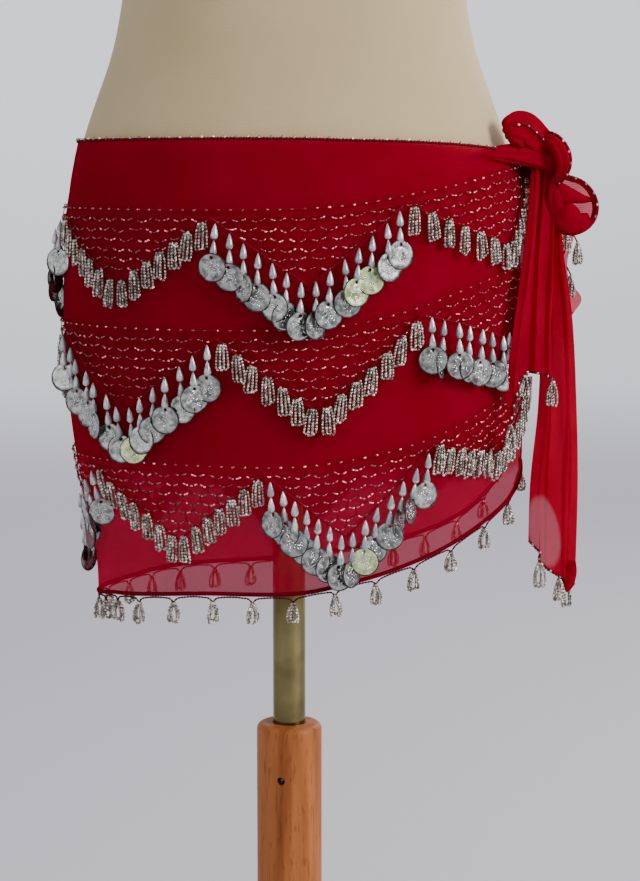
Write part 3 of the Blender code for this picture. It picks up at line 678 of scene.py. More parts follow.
class Nodes:
    """A tree of shader nodes, written down one call to a node."""

    def __init__(self, tree):
        self.tree = tree

    def fill(self, node, inputs):
        """Sets or links a node's inputs."""
        for name, value in inputs.items():
            if isinstance(value, bpy.types.NodeSocket):
                self.tree.links.new(value, node.inputs[name])
            else:
                node.inputs[name].default_value = value

    def add(self, kind, inputs, out, **settings):
        """Adds a node and gives one of its outputs."""
        node = self.tree.nodes.new("ShaderNode" + kind)
        for name, value in settings.items():
            setattr(node, name, value)
        self.fill(node, inputs)
        return node.outputs[out]

    def place(self):
        """Places in the frame's own metres."""
        return self.add("TexCoord", {}, "Object")

    def height(self, vector):
        """The Z of a vector."""
        return self.add("SeparateXYZ", {"Vector": vector}, "Z")

    def noise(self, scale, detail, stretch=(1, 1, 1)):
        """Noise in the frame's own metres, stretched along its axes."""
        place = self.add("Mapping", {"Vector": self.place(), "Scale": stretch}, "Vector")
        return self.add("TexNoise", {"Vector": place, "Scale": scale, "Detail": detail}, "Fac")

    def bands(self, scale, distortion=0.0):
        """Even level bands."""
        inputs = {"Vector": self.place(), "Scale": scale, "Distortion": distortion, "Detail Scale": 0.4}
        return self.add("TexWave", inputs, "Fac", bands_direction="Z")

    def ramp(self, value, *stops):
        """Colours along a value: pairs of position and colour."""
        node = self.tree.nodes.new("ShaderNodeValToRGB")
        self.fill(node, {"Fac": value})
        elements = node.color_ramp.elements
        for element, (position, colour) in zip(elements, (stops[0], stops[-1])):
            element.position, element.color = position, (*colour, 1)
        for position, colour in stops[1:-1]:
            elements.new(position).color = (*colour, 1)
        return node.outputs["Color"]

    def raised(self, height, distance, strength, under=None):
        """A bump from a value, laid over another one where there is one."""
        inputs = {"Height": height, "Distance": distance, "Strength": strength}
        if under is not None:
            inputs["Normal"] = under
        return self.add("Bump", inputs, "Normal")

    def fade(self, value, start, end, at_start, at_end=0.0, kind="SMOOTHSTEP"):
        """Goes from one number to another while a value goes from start to end."""
        inputs = {"Value": value, "From Min": start, "From Max": end, "To Min": at_start, "To Max": at_end}
        return self.add("MapRange", inputs, "Result", interpolation_type=kind)

    def total(self, first, second):
        """The sum of two values."""
        return self.add("Math", {0: first, 1: second}, "Value", operation="ADD")

    def from_oval(self, spot, radii, lean):
        """How far a place is from the middle of an oval that leans about +Y, and 1 on its edge."""
        inputs = {"Vector": self.place(), "Location": spot, "Rotation": (0, lean, 0), "Scale": radii}
        inside = self.add("Mapping", inputs, "Vector", vector_type="TEXTURE")
        return self.add("VectorMath", {0: inside}, "Value", operation="LENGTH")


class Look(Nodes):
    """The nodes of a material, with its main shader."""

    def __init__(self, name):
        self.material = bpy.data.materials.new(name)
        self.material.use_nodes = True
        super().__init__(self.material.node_tree)
        self.shader = self.tree.nodes["Principled BSDF"]

    def shaded(self, inputs):
        """The material, with its main shader's inputs set."""
        self.fill(self.shader, inputs)
        return self.material


def chiffon(name, through, deep, light, glow_colour, glow_share, thin_spot=None, open_below=None):
    """Thin crimson cloth with a fine weave.

    through is the share of light that passes straight, and glow_share the share of the rest
    that shines through softly in the glow colour. thin_spot is a point with its radii, its lean
    and the share that it adds, where the cloth lies in fewer layers. open_below is a height and
    the share that is added under it, where the cloth hangs free in front of the wall: painted light, since
    the cloth is no thinner there.
    """
    look = Look(name)
    weft = look.bands(230, 1.2)
    crinkle = look.noise(240, 2, (1, 1, 3))
    look.shaded({
        "Base Color": look.ramp(look.noise(28, 3), (0.3, deep), (0.7, light)),
        "Normal": look.raised(crinkle, 0.0006, 0.25, look.raised(weft, 0.00012, 0.35)),
        "Roughness": 0.62, "Specular IOR Level": 0.0,
        "Sheen Weight": 0.09, "Sheen Roughness": 0.30, "Sheen Tint": (1.0, 0.02, 0.10, 1),
    })
    glow = look.add("BsdfTranslucent", {"Color": (*glow_colour, 1)}, "BSDF")
    body = look.add("MixShader", {"Fac": glow_share, 1: look.shader.outputs["BSDF"], 2: glow}, "Shader")
    clear = look.add("BsdfTransparent", {"Color": (1.0, 0.68, 0.78, 1)}, "BSDF")
    share = look.ramp(weft, (0.2, grey(through * 0.6)), (0.8, grey(through * 1.4)))
    if thin_spot is not None:
        *oval_place, more = thin_spot
        share = look.total(share, look.fade(look.from_oval(*oval_place), 0.78, 1.0, more))
    if open_below is not None:
        # Painted light: below this height the cloth is made more see-through, where the wall shines through
        # it
        height, more = open_below
        share = look.total(share, look.fade(look.height(look.place()), height - 0.012, height, more))
    cloth = look.add("MixShader", {"Fac": share, 1: body, 2: clear}, "Shader")
    look.fill(look.tree.nodes["Material Output"], {"Surface": cloth})
    return look.material


def crochet(name, deep, light):
    """Twisted red thread."""
    look = Look(name)
    fibre = look.noise(900, 3, (1, 1, 2.5))
    return look.shaded({
        "Base Color": look.ramp(fibre, (0.35, deep), (0.7, light)),
        "Normal": look.raised(fibre, 0.0003, 0.6), "Roughness": 0.75, "Specular IOR Level": 0.06,
    })


def metal(name, dark, pale, roughness, spots, strength):
    """Plated or stamped metal with cloudy wear."""
    look = Look(name)
    wear = look.noise(spots, 4)
    return look.shaded({
        "Base Color": look.ramp(wear, (0.35, dark), (0.65, pale)),
        "Roughness": look.ramp(wear, (0.3, grey(roughness * 0.6)), (0.7, grey(roughness * 1.5))),
        "Normal": look.raised(wear, 0.0002, strength), "Metallic": 1.0,
    })


def bead_glass(name, dark, pale, roughness, metallic, cell, sparkle, coat=0.6):
    """Silver-lined glass with a clear coat: each bead its own shade, partly its own tone and partly painted
    reflection.
    """
    look = Look(name)
    cells = look.add("TexVoronoi", {"Vector": look.place(), "Scale": cell}, "Color")
    spread = look.add("SeparateColor", {"Color": cells}, "Red")
    middle = tuple(a * 0.6 + b * 0.4 for a, b in zip(dark, pale))
    # The palest beads are a painted sparkle, brighter than the glass itself
    bright = tuple(min(1.0, part * sparkle) for part in pale)
    return look.shaded({
        "Base Color": look.ramp(spread, (0.1, dark), (0.5, middle), (0.78, pale), (0.90, bright)),
        "Metallic": metallic, "Roughness": roughness, "Coat Weight": coat, "Coat Roughness": 0.06,
    })


def cotton():
    """Cream canvas of the dress form."""
    look = Look("cotton")
    slub = look.noise(700, 2, (1, 1, 4))
    return look.shaded({
        "Base Color": look.ramp(
            look.noise(9, 4), (0.3, (0.415, 0.308, 0.158)), (0.7, (0.475, 0.362, 0.196)),
        ),
        "Normal": look.raised(slub, 0.0002, 0.35, look.raised(look.bands(330), 0.0001, 0.4)),
        "Roughness": 0.88, "Sheen Weight": 0.15,
    })


def beech():
    """Varnished turned beech, with its grain along the pole and short dark flecks."""
    look = Look("beech")
    grain = look.noise(90, 5, (1, 1, 0.06))
    colour = look.ramp(
        grain, (0.30, (0.17, 0.048, 0.012)), (0.50, (0.29, 0.092, 0.026)), (0.72, (0.38, 0.135, 0.042)),
    )
    flecks = look.ramp(look.noise(600, 2, (1, 1, 0.12)), (0.30, (0.55, 0.5, 0.45)), (0.42, (1, 1, 1)))
    inputs = {"Factor": 0.8, "A": colour, "B": flecks}
    return look.shaded({
        "Base Color": look.add("Mix", inputs, "Result", data_type="RGBA", blend_type="MULTIPLY"),
        "Normal": look.raised(grain, 0.0003, 0.2), "Roughness": 0.45, "Specular IOR Level": 0.10,
    })


THIN_PATCH = ((0.1835, -0.0300, 0.6170), (0.0125, 1.0, 0.0300), math.radians(-13), 0.17)
LOOKS = {
    "chiffon": chiffon(
        "chiffon", 0.045, (0.152, 0.0002, 0.0128), (0.190, 0.0004, 0.0170), (0.86, 0.0010, 0.050), 0.42,
        open_below=(FORM_BOTTOM, 0.125),
    ),
    "folded": chiffon(
        "chiffon_folded", 0.004, (0.20, 0.0002, 0.0110), (0.27, 0.0005, 0.0160), (0.72, 0.0008, 0.022), 0.32,
    ),
    "tail": chiffon(
        "chiffon_tail", 0.006, (0.185, 0.0002, 0.0100), (0.25, 0.0005, 0.0145), (0.66, 0.0008, 0.022), 0.32,
        THIN_PATCH,
    ),
    "bow": chiffon(
        "chiffon_bow", 0.16, (0.27, 0.0004, 0.0120), (0.35, 0.0010, 0.0180), (0.72, 0.0008, 0.030), 0.32,
    ),
    "hem": chiffon(
        "chiffon_hem", 0.004, (0.13, 0.0001, 0.0080), (0.17, 0.0003, 0.0105), (0.60, 0.0008, 0.030), 0.25,
    ),
    # Nearly black red: painted shade for the cloth drawn in behind the flap
    "shade": chiffon(
        "chiffon_painted_shade", 0.0, (0.060, 0.0001, 0.0035), (0.085, 0.0002, 0.0050), (0.40, 0.0006, 0.015), 0.10,
    ),
    "crochet": crochet("crochet", (0.055, 0.0006, 0.003), (0.17, 0.0020, 0.010)),
    "cord": crochet("cord", (0.030, 0.0015, 0.004), (0.095, 0.003, 0.009)),
    "net": crochet("net", (0.12, 0.0004, 0.006), (0.26, 0.0012, 0.013)),
    "coins": metal("coins", (0.16, 0.163, 0.153), (0.48, 0.485, 0.46), 0.26, 260, 0.25),
    # Dark rings round the coins' edges: painted shade that stands in for their edge shadows
    "shade_rings": metal("coin_shade_rings", (0.022, 0.022, 0.022), (0.075, 0.075, 0.070), 0.42, 260, 0.2),
    # The stamp strokes' pale metal is a painted glint on the coins
    "glint_strokes": metal("coin_glint_strokes", (0.55, 0.57, 0.54), (0.98, 1.0, 0.97), 0.12, 900, 0.6),
    "lit_coins": metal("lit_coins", (0.42, 0.50, 0.22), (0.90, 1.0, 0.58), 0.26, 260, 0.2),
    # The coins behind the edge of the cloth, in painted red shade
    "shaded_coins": metal("shaded_coins", (0.10, 0.012, 0.020), (0.20, 0.035, 0.050), 0.34, 260, 0.3),
    "pearl": bead_glass("pearl_drops", (0.24, 0.24, 0.25), (0.50, 0.50, 0.50), 0.24, 0.40, 160, 1.1),
    "beads": bead_glass("silver_beads", (0.105, 0.085, 0.066), (0.48, 0.43, 0.365), 0.20, 0.50, 520, 1.8),
    "net_beads": bead_glass(
        "net_beads", (0.12, 0.010, 0.012), (0.33, 0.15, 0.145), 0.20, 0.35, 260, 3.0, 0.30,
    ),
    "cotton": cotton(),
    "beech": beech(),
    "brass": metal("brass", (0.115, 0.092, 0.034), (0.24, 0.200, 0.084), 0.12, 30, 0.05),
    "steel": metal("steel", (0.05, 0.05, 0.05), (0.16, 0.16, 0.16), 0.4, 300, 0.2),
}


# Stand and dress form

def turned_piece(node, profile, look):
    """A piece turned round the pole's axis from a profile of radius and height."""
    name = f"look_{node}"
    made = finish_piece(name, mesh_of(name, *turned_form(profile, ROUND_STEPS)), look, [node])
    made.data.set_sharp_from_angle(angle=math.radians(35))
    return made


def ringed_piece(name, rings, look, node):
    """A piece from level rings of points, closed at both ends."""
    mesh = mesh_of(name, np.concatenate(rings), closed_faces(len(rings), FORM_COLUMNS))
    made = finish_piece(name, mesh, look, [node])
    made.data.set_sharp_from_angle(angle=math.radians(50))


def round_edge(reach, height, radius):
    """Points of a round outer edge in a profile, from its top to its side."""
    turns = [math.radians(90 - 90 * k / 8) for k in range(9)]
    return [(reach - radius + radius * math.cos(t), height - radius + radius * math.sin(t)) for t in turns]


def build_stand():
    """Base, column with its screw hole, pole and set screw."""
    base = [(0, BASE_HEIGHT), (BASE_RADIUS - BASE_EDGE - 0.03, BASE_HEIGHT)]
    base += round_edge(BASE_RADIUS, BASE_HEIGHT, BASE_EDGE)
    base += [(BASE_RADIUS, BASE_CHAMFER), (BASE_RADIUS - BASE_CHAMFER, 0.0), (0, 0.0)]
    turned_piece("base", base, "beech")

    column = [(0, POLE_BOTTOM - SEAM), (BORE_RADIUS, POLE_BOTTOM - SEAM), (BORE_RADIUS, COLUMN_TOP)]
    column += round_edge(COLUMN_RADIUS, COLUMN_TOP, COLUMN_EDGE)
    column += [(COLUMN_RADIUS, BASE_HEIGHT + SEAM), (0, BASE_HEIGHT + SEAM)]
    post = turned_piece("column", column, "beech")
    bpy.ops.mesh.primitive_cylinder_add(vertices=24, radius=SCREW_HOLE, depth=0.022)
    cutter = bpy.context.object
    out = np.array((math.sin(SCREW_TURN), -math.cos(SCREW_TURN), 0))
    middle = np.array((0, 0, SCREW_HEIGHT))
    cutter.location = out * 0.017 + middle
    cutter.rotation_euler = (math.radians(90), 0, SCREW_TURN)
    cut = post.modifiers.new("screw hole", "BOOLEAN")
    cut.object = cutter
    bpy.context.view_layer.update()
    whole = bpy.data.meshes.new_from_object(post.evaluated_get(bpy.context.evaluated_depsgraph_get()))
    post.modifiers.clear()
    post.data = whole
    bpy.data.objects.remove(cutter)

    top = FORM_BOTTOM + POLE_IN_FORM - SEAM
    pole = [(0, POLE_BOTTOM), (POLE_RADIUS - POLE_CHAMFER, POLE_BOTTOM)]
    pole += [(POLE_RADIUS, POLE_BOTTOM + POLE_CHAMFER), (POLE_RADIUS, top), (0, top)]
    turned_piece("pole", pole, "brass")

    screw = Batch()
    reaches = np.linspace(POLE_RADIUS + SEAM, COLUMN_RADIUS - SCREW_SUNK, 6)
    screw.tube([out * reach + middle for reach in reaches], SCREW_RADIUS, 16)
    finish_piece("look_set_screw", screw, "steel", ["set_screw"])


def build_form():
    """The torso under its canvas, and the cap on its neck."""
    turns = even_turns(FORM_COLUMNS)
    from_front = np.abs((turns + np.pi) % (2 * np.pi) - np.pi)

    def ring(x, y, height):
        return np.column_stack((x, y, np.full(len(turns), height)))

    def body(height, inset=0.0):
        level = oval(FORM_SECTIONS, turns, height) - oval_out(FORM_SECTIONS, turns, height) * inset
        side = np.exp(-(((from_front - BUST_TURN) / BUST_SPREAD) ** 2))
        level[:, 1] -= BUST_PROUD * side * math.exp(-(((height - BUST_HEIGHT) / BUST_RISE) ** 2))
        return ring(*level.T, height)

    heights = (FORM_BOTTOM + POLE_IN_FORM, FORM_BOTTOM)
    rings = [ring(BORE_RADIUS * np.sin(turns), -BORE_RADIUS * np.cos(turns), z) for z in heights]
    for step in (90, 70, 50, 30, 15):
        low = body(FORM_BOTTOM + FORM_EDGE, FORM_EDGE * (1 - math.cos(math.radians(step))))
        low[:, 2] -= FORM_EDGE * math.sin(math.radians(step))
        rings.append(low)
    rings += [body(height) for height in np.linspace(FORM_BOTTOM + FORM_EDGE, FORM_TOP, 90)]
    ringed_piece("look_torso", rings, "cotton", "form_torso")

    _, neck_half, neck_depth, _ = FORM_SECTIONS[-1]
    rings = []
    for step in (0, 8, 20, 35, 50, 65, 78, 86):
        share, rise = math.cos(math.radians(step)), math.sin(math.radians(step))
        x, y = FORM_X + neck_half * share * np.sin(turns), -neck_depth * share * np.cos(turns)
        rings.append(ring(x, y, FORM_TOP + SEAM + CAP_HEIGHT * rise))
    ringed_piece("look_neck_cap", rings, "beech", "form_neck_cap")


# The wrap and its net rows

def build_wrap():
    """The cloth round the hips, one thin layer, with its rolled hem and beaded top edge."""
    turns = np.radians(np.linspace(FREE_EDGE_TURN, FAR_EDGE_TURN, WRAP_COLUMNS))
    grid_turns, grid_levels = np.meshgrid(turns, np.linspace(0, HEM_LINE, WRAP_ROWS))
    points = on_line(grid_turns, grid_levels, 0, -CLOTH / 2)
    mesh = mesh_of("wrap", points, grid_faces(*grid_turns.shape))
    wrap = finish_piece("wrap", mesh, "chiffon", ["cloth_wrap"])

    band = Batch()
    band.tube(on_line(turns, HEM_LINE, 0.0012, -CLOTH / 2), HEM_ROLL, 6)
    rolled = finish_piece("rolled_hem", band, "hem")

    chain, beads = Batch(), Batch()
    near, far = place_at(turns[0]), place_at(turns[-1])
    steps = int((near - far) / STITCH * 4)
    fine = turn_at(np.linspace(near, far, steps))
    chain.tube(on_line(fine, 0, 0.0004, -0.0005), TOP_CORD * stitches(steps), 6)
    spots = turn_at(np.arange(far + 0.004, near - 0.004, HEADER_BEAD_PITCH))
    axes = on_line(spots + 0.01, 0, 0, 0.0) - on_line(spots, 0, 0, 0.0)
    beads.many(LONG_BEAD, on_line(spots, 0, 0.0016, 0.0004), axes, SEED_BEAD[0], SEED_BEAD[1] * 1.1)
    finish_piece("top_chain", chain, "crochet", ["top_edging"])
    finish_piece("top_beads", beads, "beads")
    return wrap, rolled


def shape_of(row, start, end):
    """Where a net triangle has its point, and how deep it is."""
    if start == row["ends"][0]:
        return row["first_point"], row["first_depth"]
    return (start + end) / 2, row["depth"]


def net_depth(row, place):
    """How far a net row reaches below its upper line at one place."""
    for start, end in zip(row["ends"], row["ends"][1:]):
        if end <= place <= start:
            point, depth = shape_of(row, start, end)
            far_side = start if place > point else end
            return NET_HEADER + depth * (far_side - place) / (far_side - point)
    return NET_HEADER


def uneven(place, level):
    """A small steady unevenness of the net at a place of one of its levels, from -1 to 1."""
    return math.sin(place * 911 + level * 2.3) * math.cos(place * 347 - level)


def scale_loops(row, start, end):
    """The net's shallow loops in one triangle: ends as places, the upper ends' depth and the sag."""
    point, depth = shape_of(row, start, end)
    loops = []
    for level in range(int(depth / SCALE_DROP)):
        share = level * SCALE_DROP / depth
        high, low = start + (point - start) * share, end + (point - end) * share
        offset = SCALE_WIDTH / 2 if level % 2 else 0.0
        first = math.ceil((low - point - offset) / SCALE_WIDTH)
        last = math.floor((high - point - offset) / SCALE_WIDTH)
        stops = [point + offset + k * SCALE_WIDTH for k in range(first, last + 1)]
        stops = [stop for stop in stops if low + 0.003 < stop < high - 0.003]
        stops = [low, *(stop + 0.0010 * uneven(stop, level) for stop in stops), high]
        for left, right in zip(stops, stops[1:]):
            if right - left > 0.35 * SCALE_WIDTH:
                sag = SCALE_SAG * min(1.0, (right - left) / SCALE_WIDTH)
                loops.append((left, right, NET_HEADER + level * SCALE_DROP, sag))
    return loops


def build_net(number, row):
    """One row of beaded net: header, fish-scale loops and the raised cord along its points."""
    threads, beads = Batch(), Batch()
    ends = row["ends"]
    reach = np.arange(ends[-1], ends[0], 0.0035)
    singles = np.arange(ends[-1] + 0.003, ends[0] - 0.001, HEADER_BEAD_PITCH)
    for down in (0.0, NET_HEADER):
        threads.tube(in_row(number, reach, down, NET_OUT), THREAD, 4)
    axes = in_row(number, singles + 0.002, 0.0, NET_OUT) - in_row(number, singles, 0.0, NET_OUT)
    centres = in_row(number, singles, 0.0, NET_OUT + 0.0004)
    beads.many(LONG_BEAD, centres, axes, NET_BEAD[0], NET_BEAD[1] * 1.15)
    for k, place in enumerate(singles):
        ends_at = np.array((place, place + dice.uniform(-0.0010, 0.0010)))
        foot = NET_HEADER if k % 3 == 0 else 0.0
        threads.tube(in_row(number, ends_at, np.array((-0.0026, foot)), NET_OUT * 0.8), THREAD * 0.9, 4)

    sag_at = np.linspace(0, 1, 9)
    bead_at = np.array((0.20, 0.36, 0.64, 0.80))
    for start, end in zip(ends, ends[1:]):
        for left, right, down, sag in scale_loops(row, start, end):
            lift = dice.uniform(-0.0009, 0.0009)
            lean = dice.uniform(-0.0006, 0.0006)

            def loop(share):
                place = left + (right - left) * share
                fall = down + (sag + lift) * (1 - (2 * share - 1) ** 2) + lean * np.sin(2 * np.pi * share)
                return in_row(number, place, fall, NET_OUT + 0.0005 * np.sin(np.pi * share))

            threads.tube(loop(sag_at), THREAD, 4)
            middle = (left + right) / 2
            hang = np.array((down + sag + lift, down + SCALE_DROP))
            if hang[1] < net_depth(row, middle):
                threads.tube(in_row(number, np.full(2, middle), hang, NET_OUT), THREAD * 0.9, 4)
            shares = bead_at if right - left > 0.6 * SCALE_WIDTH else bead_at[1:3]
            shares = shares + dice.uniform(-0.05, 0.05, len(shares))
            beads.many(LONG_BEAD, loop(shares), loop(shares + 0.04) - loop(shares - 0.04), *NET_BEAD)

    for start, end in zip(ends, ends[1:]):
        point = shape_of(row, start, end)[0]
        for near, far in ((start, point), (point, end)):
            count = int(abs(near - far) / STITCH * 4)
            places = np.linspace(near, far, count)
            depth = np.array([net_depth(row, place) for place in places])
            threads.tube(in_row(number, places, depth, NET_OUT + 0.0004), EDGE_CORD * stitches(count), 6)
    finish_piece(f"net_thread_{number}", threads, "net", [f"net_row_{number}"])
    finish_piece(f"net_beads_{number}", beads, "net_beads")


# Fringes

def fringe_places(row, start, end, count):
    """Places of a fringe's drops along a triangle's two sides, from the knot onwards."""
    point = shape_of(row, start, end)[0]
    shares = (np.arange(count) + 0.5) / count
    near = start + (point - start) * shares * 2
    far = point + (end - point) * (shares * 2 - 1)
    return np.where(shares < 0.5, near, far)


COIN = coin_form()


def add_strokes(glint_strokes, centre, across, up, face):
    """Adds the worn stamp of one coin: short raised strokes round its middle, with no lettering, painted
    pale as a glint.
    """
    for k in range(COIN_STROKES):
        away, turn = 0.60 * math.sqrt((k + 0.5) / COIN_STROKES), 2.4 * k + dice.uniform(-0.5, 0.5)
        spot = np.array((away * math.cos(turn), away * math.sin(turn) - 0.06)) * COIN_RADIUS
        lean, half = dice.uniform(0, np.pi), COIN_RADIUS * dice.uniform(0.07, 0.15)
        line = spot + np.outer((-half, 0, half), (math.cos(lean), math.sin(lean)))
        line[1] += half * 0.4 * np.array((-math.sin(lean), math.cos(lean)))
        line = centre + np.outer(line[:, 0], across) + np.outer(line[:, 1], up)
        glint_strokes.tube(line + face * COIN_THICK * 0.22, STROKE, 4)


def build_coin_fringe(number, row, name, start, end):
    """Drops of two pearly teardrops and a stamped coin below one net triangle."""
    drops, threads, glint_strokes, shade_rings = Batch(), Batch(), Batch(), Batch()
    coins = {"coins": Batch(), "lit_coins": Batch(), "shaded_coins": Batch()}
    shade_ring_turns = np.linspace(0, 2 * np.pi, 27)
    tall, half = TEARDROP
    for k, place in enumerate(fringe_places(row, start, end, COIN_DROPS)):
        edge = net_depth(row, place)
        out = FRINGE_OUT + (0.0012 + 0.0016 * (k % 2) + dice.uniform(0, 0.0006))
        lean = dice.uniform(-0.07, 0.07)

        def at(down, more=0.0):
            return in_row(number, place + lean * down, edge + down, out + more)

        threads.tube(np.stack([at(down) for down in (-0.0005, 0.006, 0.012, 0.0215)]), DROP_THREAD, 4)
        for middle in (tall * 0.55, tall * 1.58):
            way = at(middle - 0.001) - at(middle + 0.001)
            drops.many(DROP_BEAD, at(middle), way, tall, half * dice.uniform(0.92, 1.05))
        centre = at(2 * tall + COIN_RADIUS * 0.93, 0.0006)
        outward = unit(at(0.02, 0.002) - at(0.02))
        facing = math.radians(dice.normal(0, COIN_FACING))
        if dice.random() < TURNED_SHARE:
            facing = math.radians(dice.choice((-COIN_TURNED, COIN_TURNED)))
        if k in FLAT_COINS.get(name, ()):
            facing = 0.0
        tilt = np.array((0, 0, dice.normal(0, 0.06)))
        side = unit(np.cross((0, 0, 1), outward))
        face = unit(outward * math.cos(facing) + side * math.sin(facing) + tilt)
        up = unit(np.array((0, 0, 1.0)) - face * face[2])
        across = np.cross(up, face)
        points, faces = COIN
        spin = dice.uniform(-0.12, 0.12)
        x, y, z = points.T
        flat = (
            np.outer(y * math.cos(spin) - z * math.sin(spin), across)
            + np.outer(y * math.sin(spin) + z * math.cos(spin), up)
        )
        look = "coins"
        if k in LIT_COINS.get(name, ()):
            look = "lit_coins"
        elif k in SHADED_COINS.get(name, ()):
            look = "shaded_coins"
        coins[look].add(centre + COIN_RADIUS * flat + np.outer(x * COIN_THICK * 0.6, face), faces)
        # A dark ring round the coin's edge: painted shade that stands in for its edge shadow
        rim = np.outer(np.cos(shade_ring_turns), across) + np.outer(np.sin(shade_ring_turns), up)
        shade_rings.tube(centre + rim * COIN_RADIUS, SHADE_RING, 5)
        if look != "shaded_coins":
            add_strokes(glint_strokes, centre, across, up, face)
    finish_piece(f"look_{name}_coins", coins["coins"], "coins", [name])
    for look in ("lit_coins", "shaded_coins"):
        if coins[look].count:
            finish_piece(f"{name}_{look}", coins[look], look)
    finish_piece(f"look_{name}_marks", glint_strokes, "glint_strokes")
    finish_piece(f"look_{name}_rims", shade_rings, "shade_rings")
    finish_piece(f"look_{name}_drops", drops, "pearl")
    finish_piece(f"look_{name}_threads", threads, "crochet")


def strung(line, pitch):
    """Middles of beads strung close together on a line of points."""
    steps = np.linalg.norm(np.diff(line, axis=0), axis=1)
    travel = np.concatenate(([0.0], np.cumsum(steps)))
    stops = np.arange(pitch / 2, travel[-1], pitch)
    return np.column_stack([np.interp(stops, travel, column) for column in line.T])


def hairpin(half, drop):
    """A narrow hanging loop of beads: sideways and down of each bead."""
    bend = np.linspace(0, np.pi, 7)
    foot = np.column_stack((-half * np.cos(bend), drop - half + half * np.sin(bend)))
    left = np.array(((-0.35 * half, 0.0), (-0.9 * half, 0.3 * drop)))
    line = np.concatenate((left, foot, left[::-1] * (-1, 1)))
    return strung(line, SEED_BEAD[0]).T


def build_loop_fringe(number, row, name, start, end):
    """Tassels of seed-bead loops, side by side below one net triangle."""
    beads = Batch()
    tassels = LOOP_TASSELS - 2 if start - end < NARROW_TRIANGLE else LOOP_TASSELS
    for place in fringe_places(row, start, end, tassels):
        edge = net_depth(row, place)
        sway = dice.uniform(-0.10, 0.10)
        for k in range(LOOPS_EACH):
            drop = LOOP_DROP * dice.uniform(0.93, 1.06)
            sideways, down = hairpin(LOOP_HALF * dice.uniform(0.95, 1.25), drop)
            aside = (k - (LOOPS_EACH - 1) / 2) * LOOP_APART
            fan = aside * (0.62 + 0.38 * np.sin(np.pi * 0.62 * down / drop)) + sway * down
            depth = 0.0004 + 0.0010 * (k % 2) + dice.uniform(-0.0002, 0.0004)
            out = FRINGE_OUT + (depth + dice.uniform(-0.0007, 0.0007) * sideways / LOOP_HALF)
            beads.string(in_row(number, place + (sideways + fan), edge + down, out))
    finish_piece(f"look_{name}", beads, "beads", [name])


def build_fringes(number, row):
    """Coin drops and bead loops by turns below the triangles of a net row."""
    kinds = ("loop", "coin") if row["first"] == "loop" else ("coin", "loop")
    for k, (start, end) in enumerate(zip(row["ends"], row["ends"][1:])):
        kind = kinds[k % 2]
        build = build_coin_fringe if kind == "coin" else build_loop_fringe
        build(number, row, f"{kind}_fringe_{number}_{k + 1}", start, end)


def tassel(beads, point, drop=HEM_TASSEL_DROP, spread=HEM_TASSEL_SPREAD, loops=HEM_TASSEL_LOOPS):
    """Bead loops that hang in a bunch from a point, widest above their foot."""
    for k in range(loops):
        turn = 2 * np.pi * k / loops + dice.uniform(-0.4, 0.4)
        lean = np.array((math.cos(turn), math.sin(turn) * 0.6, 0)) * spread * 0.62
        long_way = drop * dice.uniform(0.84, 1.0)
        sideways, down = hairpin(spread * dice.uniform(0.34, 0.44), long_way)
        across = np.array((math.cos(turn + 1.3), math.sin(turn + 1.3) * 0.6, 0))
        belly = np.sin(0.70 * np.pi * np.clip(down / drop, 0, 1))
        centres = point + np.outer(belly, lean) + np.outer(sideways, across) + np.outer(down, DOWN)
        beads.string(centres)


def build_hem():
    """The chain that hangs in shallow scallops under the hem, and its bead tassels."""
    chain, beads = Batch(), Batch()
    ends = [float(place_at(math.radians(turn))) for turn in (FAR_EDGE_TURN, FREE_EDGE_TURN)]
    first, last = (int(end / HEM_TASSEL_PITCH) for end in ends)
    knots = [k * HEM_TASSEL_PITCH for k in range(first, last + 1)]
    stops = [ends[0], *knots, ends[1]]
    for left, right in zip(stops, stops[1:]):
        if right - left < 0.004:
            continue
        places = np.linspace(left, right, int((right - left) / STITCH * 4))
        share = (places - left) / (right - left)
        at_knot = np.exp(-((np.minimum(share, 1 - share) / 0.07) ** 2))
        down = 0.0022 - 0.0012 * np.sin(np.pi * share) + 0.0022 * at_knot
        chain.tube(in_row(HEM_LINE, places, down, -CLOTH / 2), HEM_CORD * stitches(len(places)), 5)
    for place in knots:
        tassel(beads, in_row(HEM_LINE, place, 0.0046, -CLOTH / 2), HEM_TASSEL_DROP - 0.003)
    finish_piece("hem_chain", chain, "cord", ["hem_edging"])
    finish_piece("hem_tassels", beads, "beads")


# Knot, bow and hanging ends

def add_lobe(cloth, points, flat, ridges, twist, depth=0.30):
    """Adds a gathered lobe of cloth, with ridges that wind round it. Gives its rings and middle line.

    points are x, y, z and half height, and flat is its thickness as a share of its height.
    """
    steps, sides = 56, 60
    curve = through(points, np.linspace(0, len(points) - 1, steps))
    line, size = curve[:, :3], curve[:, 3]
    ahead = unit(np.gradient(line, axis=0))
    turns = even_turns(sides)
    rings = []
    for k in range(steps):
        front = np.array((0.0, -1.0, 0.12))
        front = unit(front - ahead[k] * np.dot(front, ahead[k]))
        up = np.cross(front, ahead[k])
        wind = turns * ridges + twist * k / steps + 0.7 * np.sin(2 * turns + 5 * k / steps)
        relief = np.abs(np.sin(wind / 2)) ** 0.85 + 0.10 * np.sin(2.0 * wind + 3 * k / steps)
        closing = LOBE_END if k in (0, steps - 1) else 1.0
        reach = size[k] * closing * (1 - depth + depth * relief)
        outward = np.outer(reach * flat * np.cos(turns), front)
        rings.append(line[k] + outward + np.outer(reach * np.sin(turns), up))
    cloth.add(rings, closed_faces(steps, sides))
    return np.array(rings), line


def add_edging(chain, beads, line, pitch=0.0085):
    """Adds a beaded crochet edge along a line of points."""
    fine = strung(line, STITCH / 4)
    chain.tube(fine, FLAP_CORD * stitches(len(fine)), 6)
    spots = strung(line, pitch)
    beads.many(LONG_BEAD, spots + (0, -0.0008, 0), np.gradient(spots, axis=0), *SEED_BEAD)


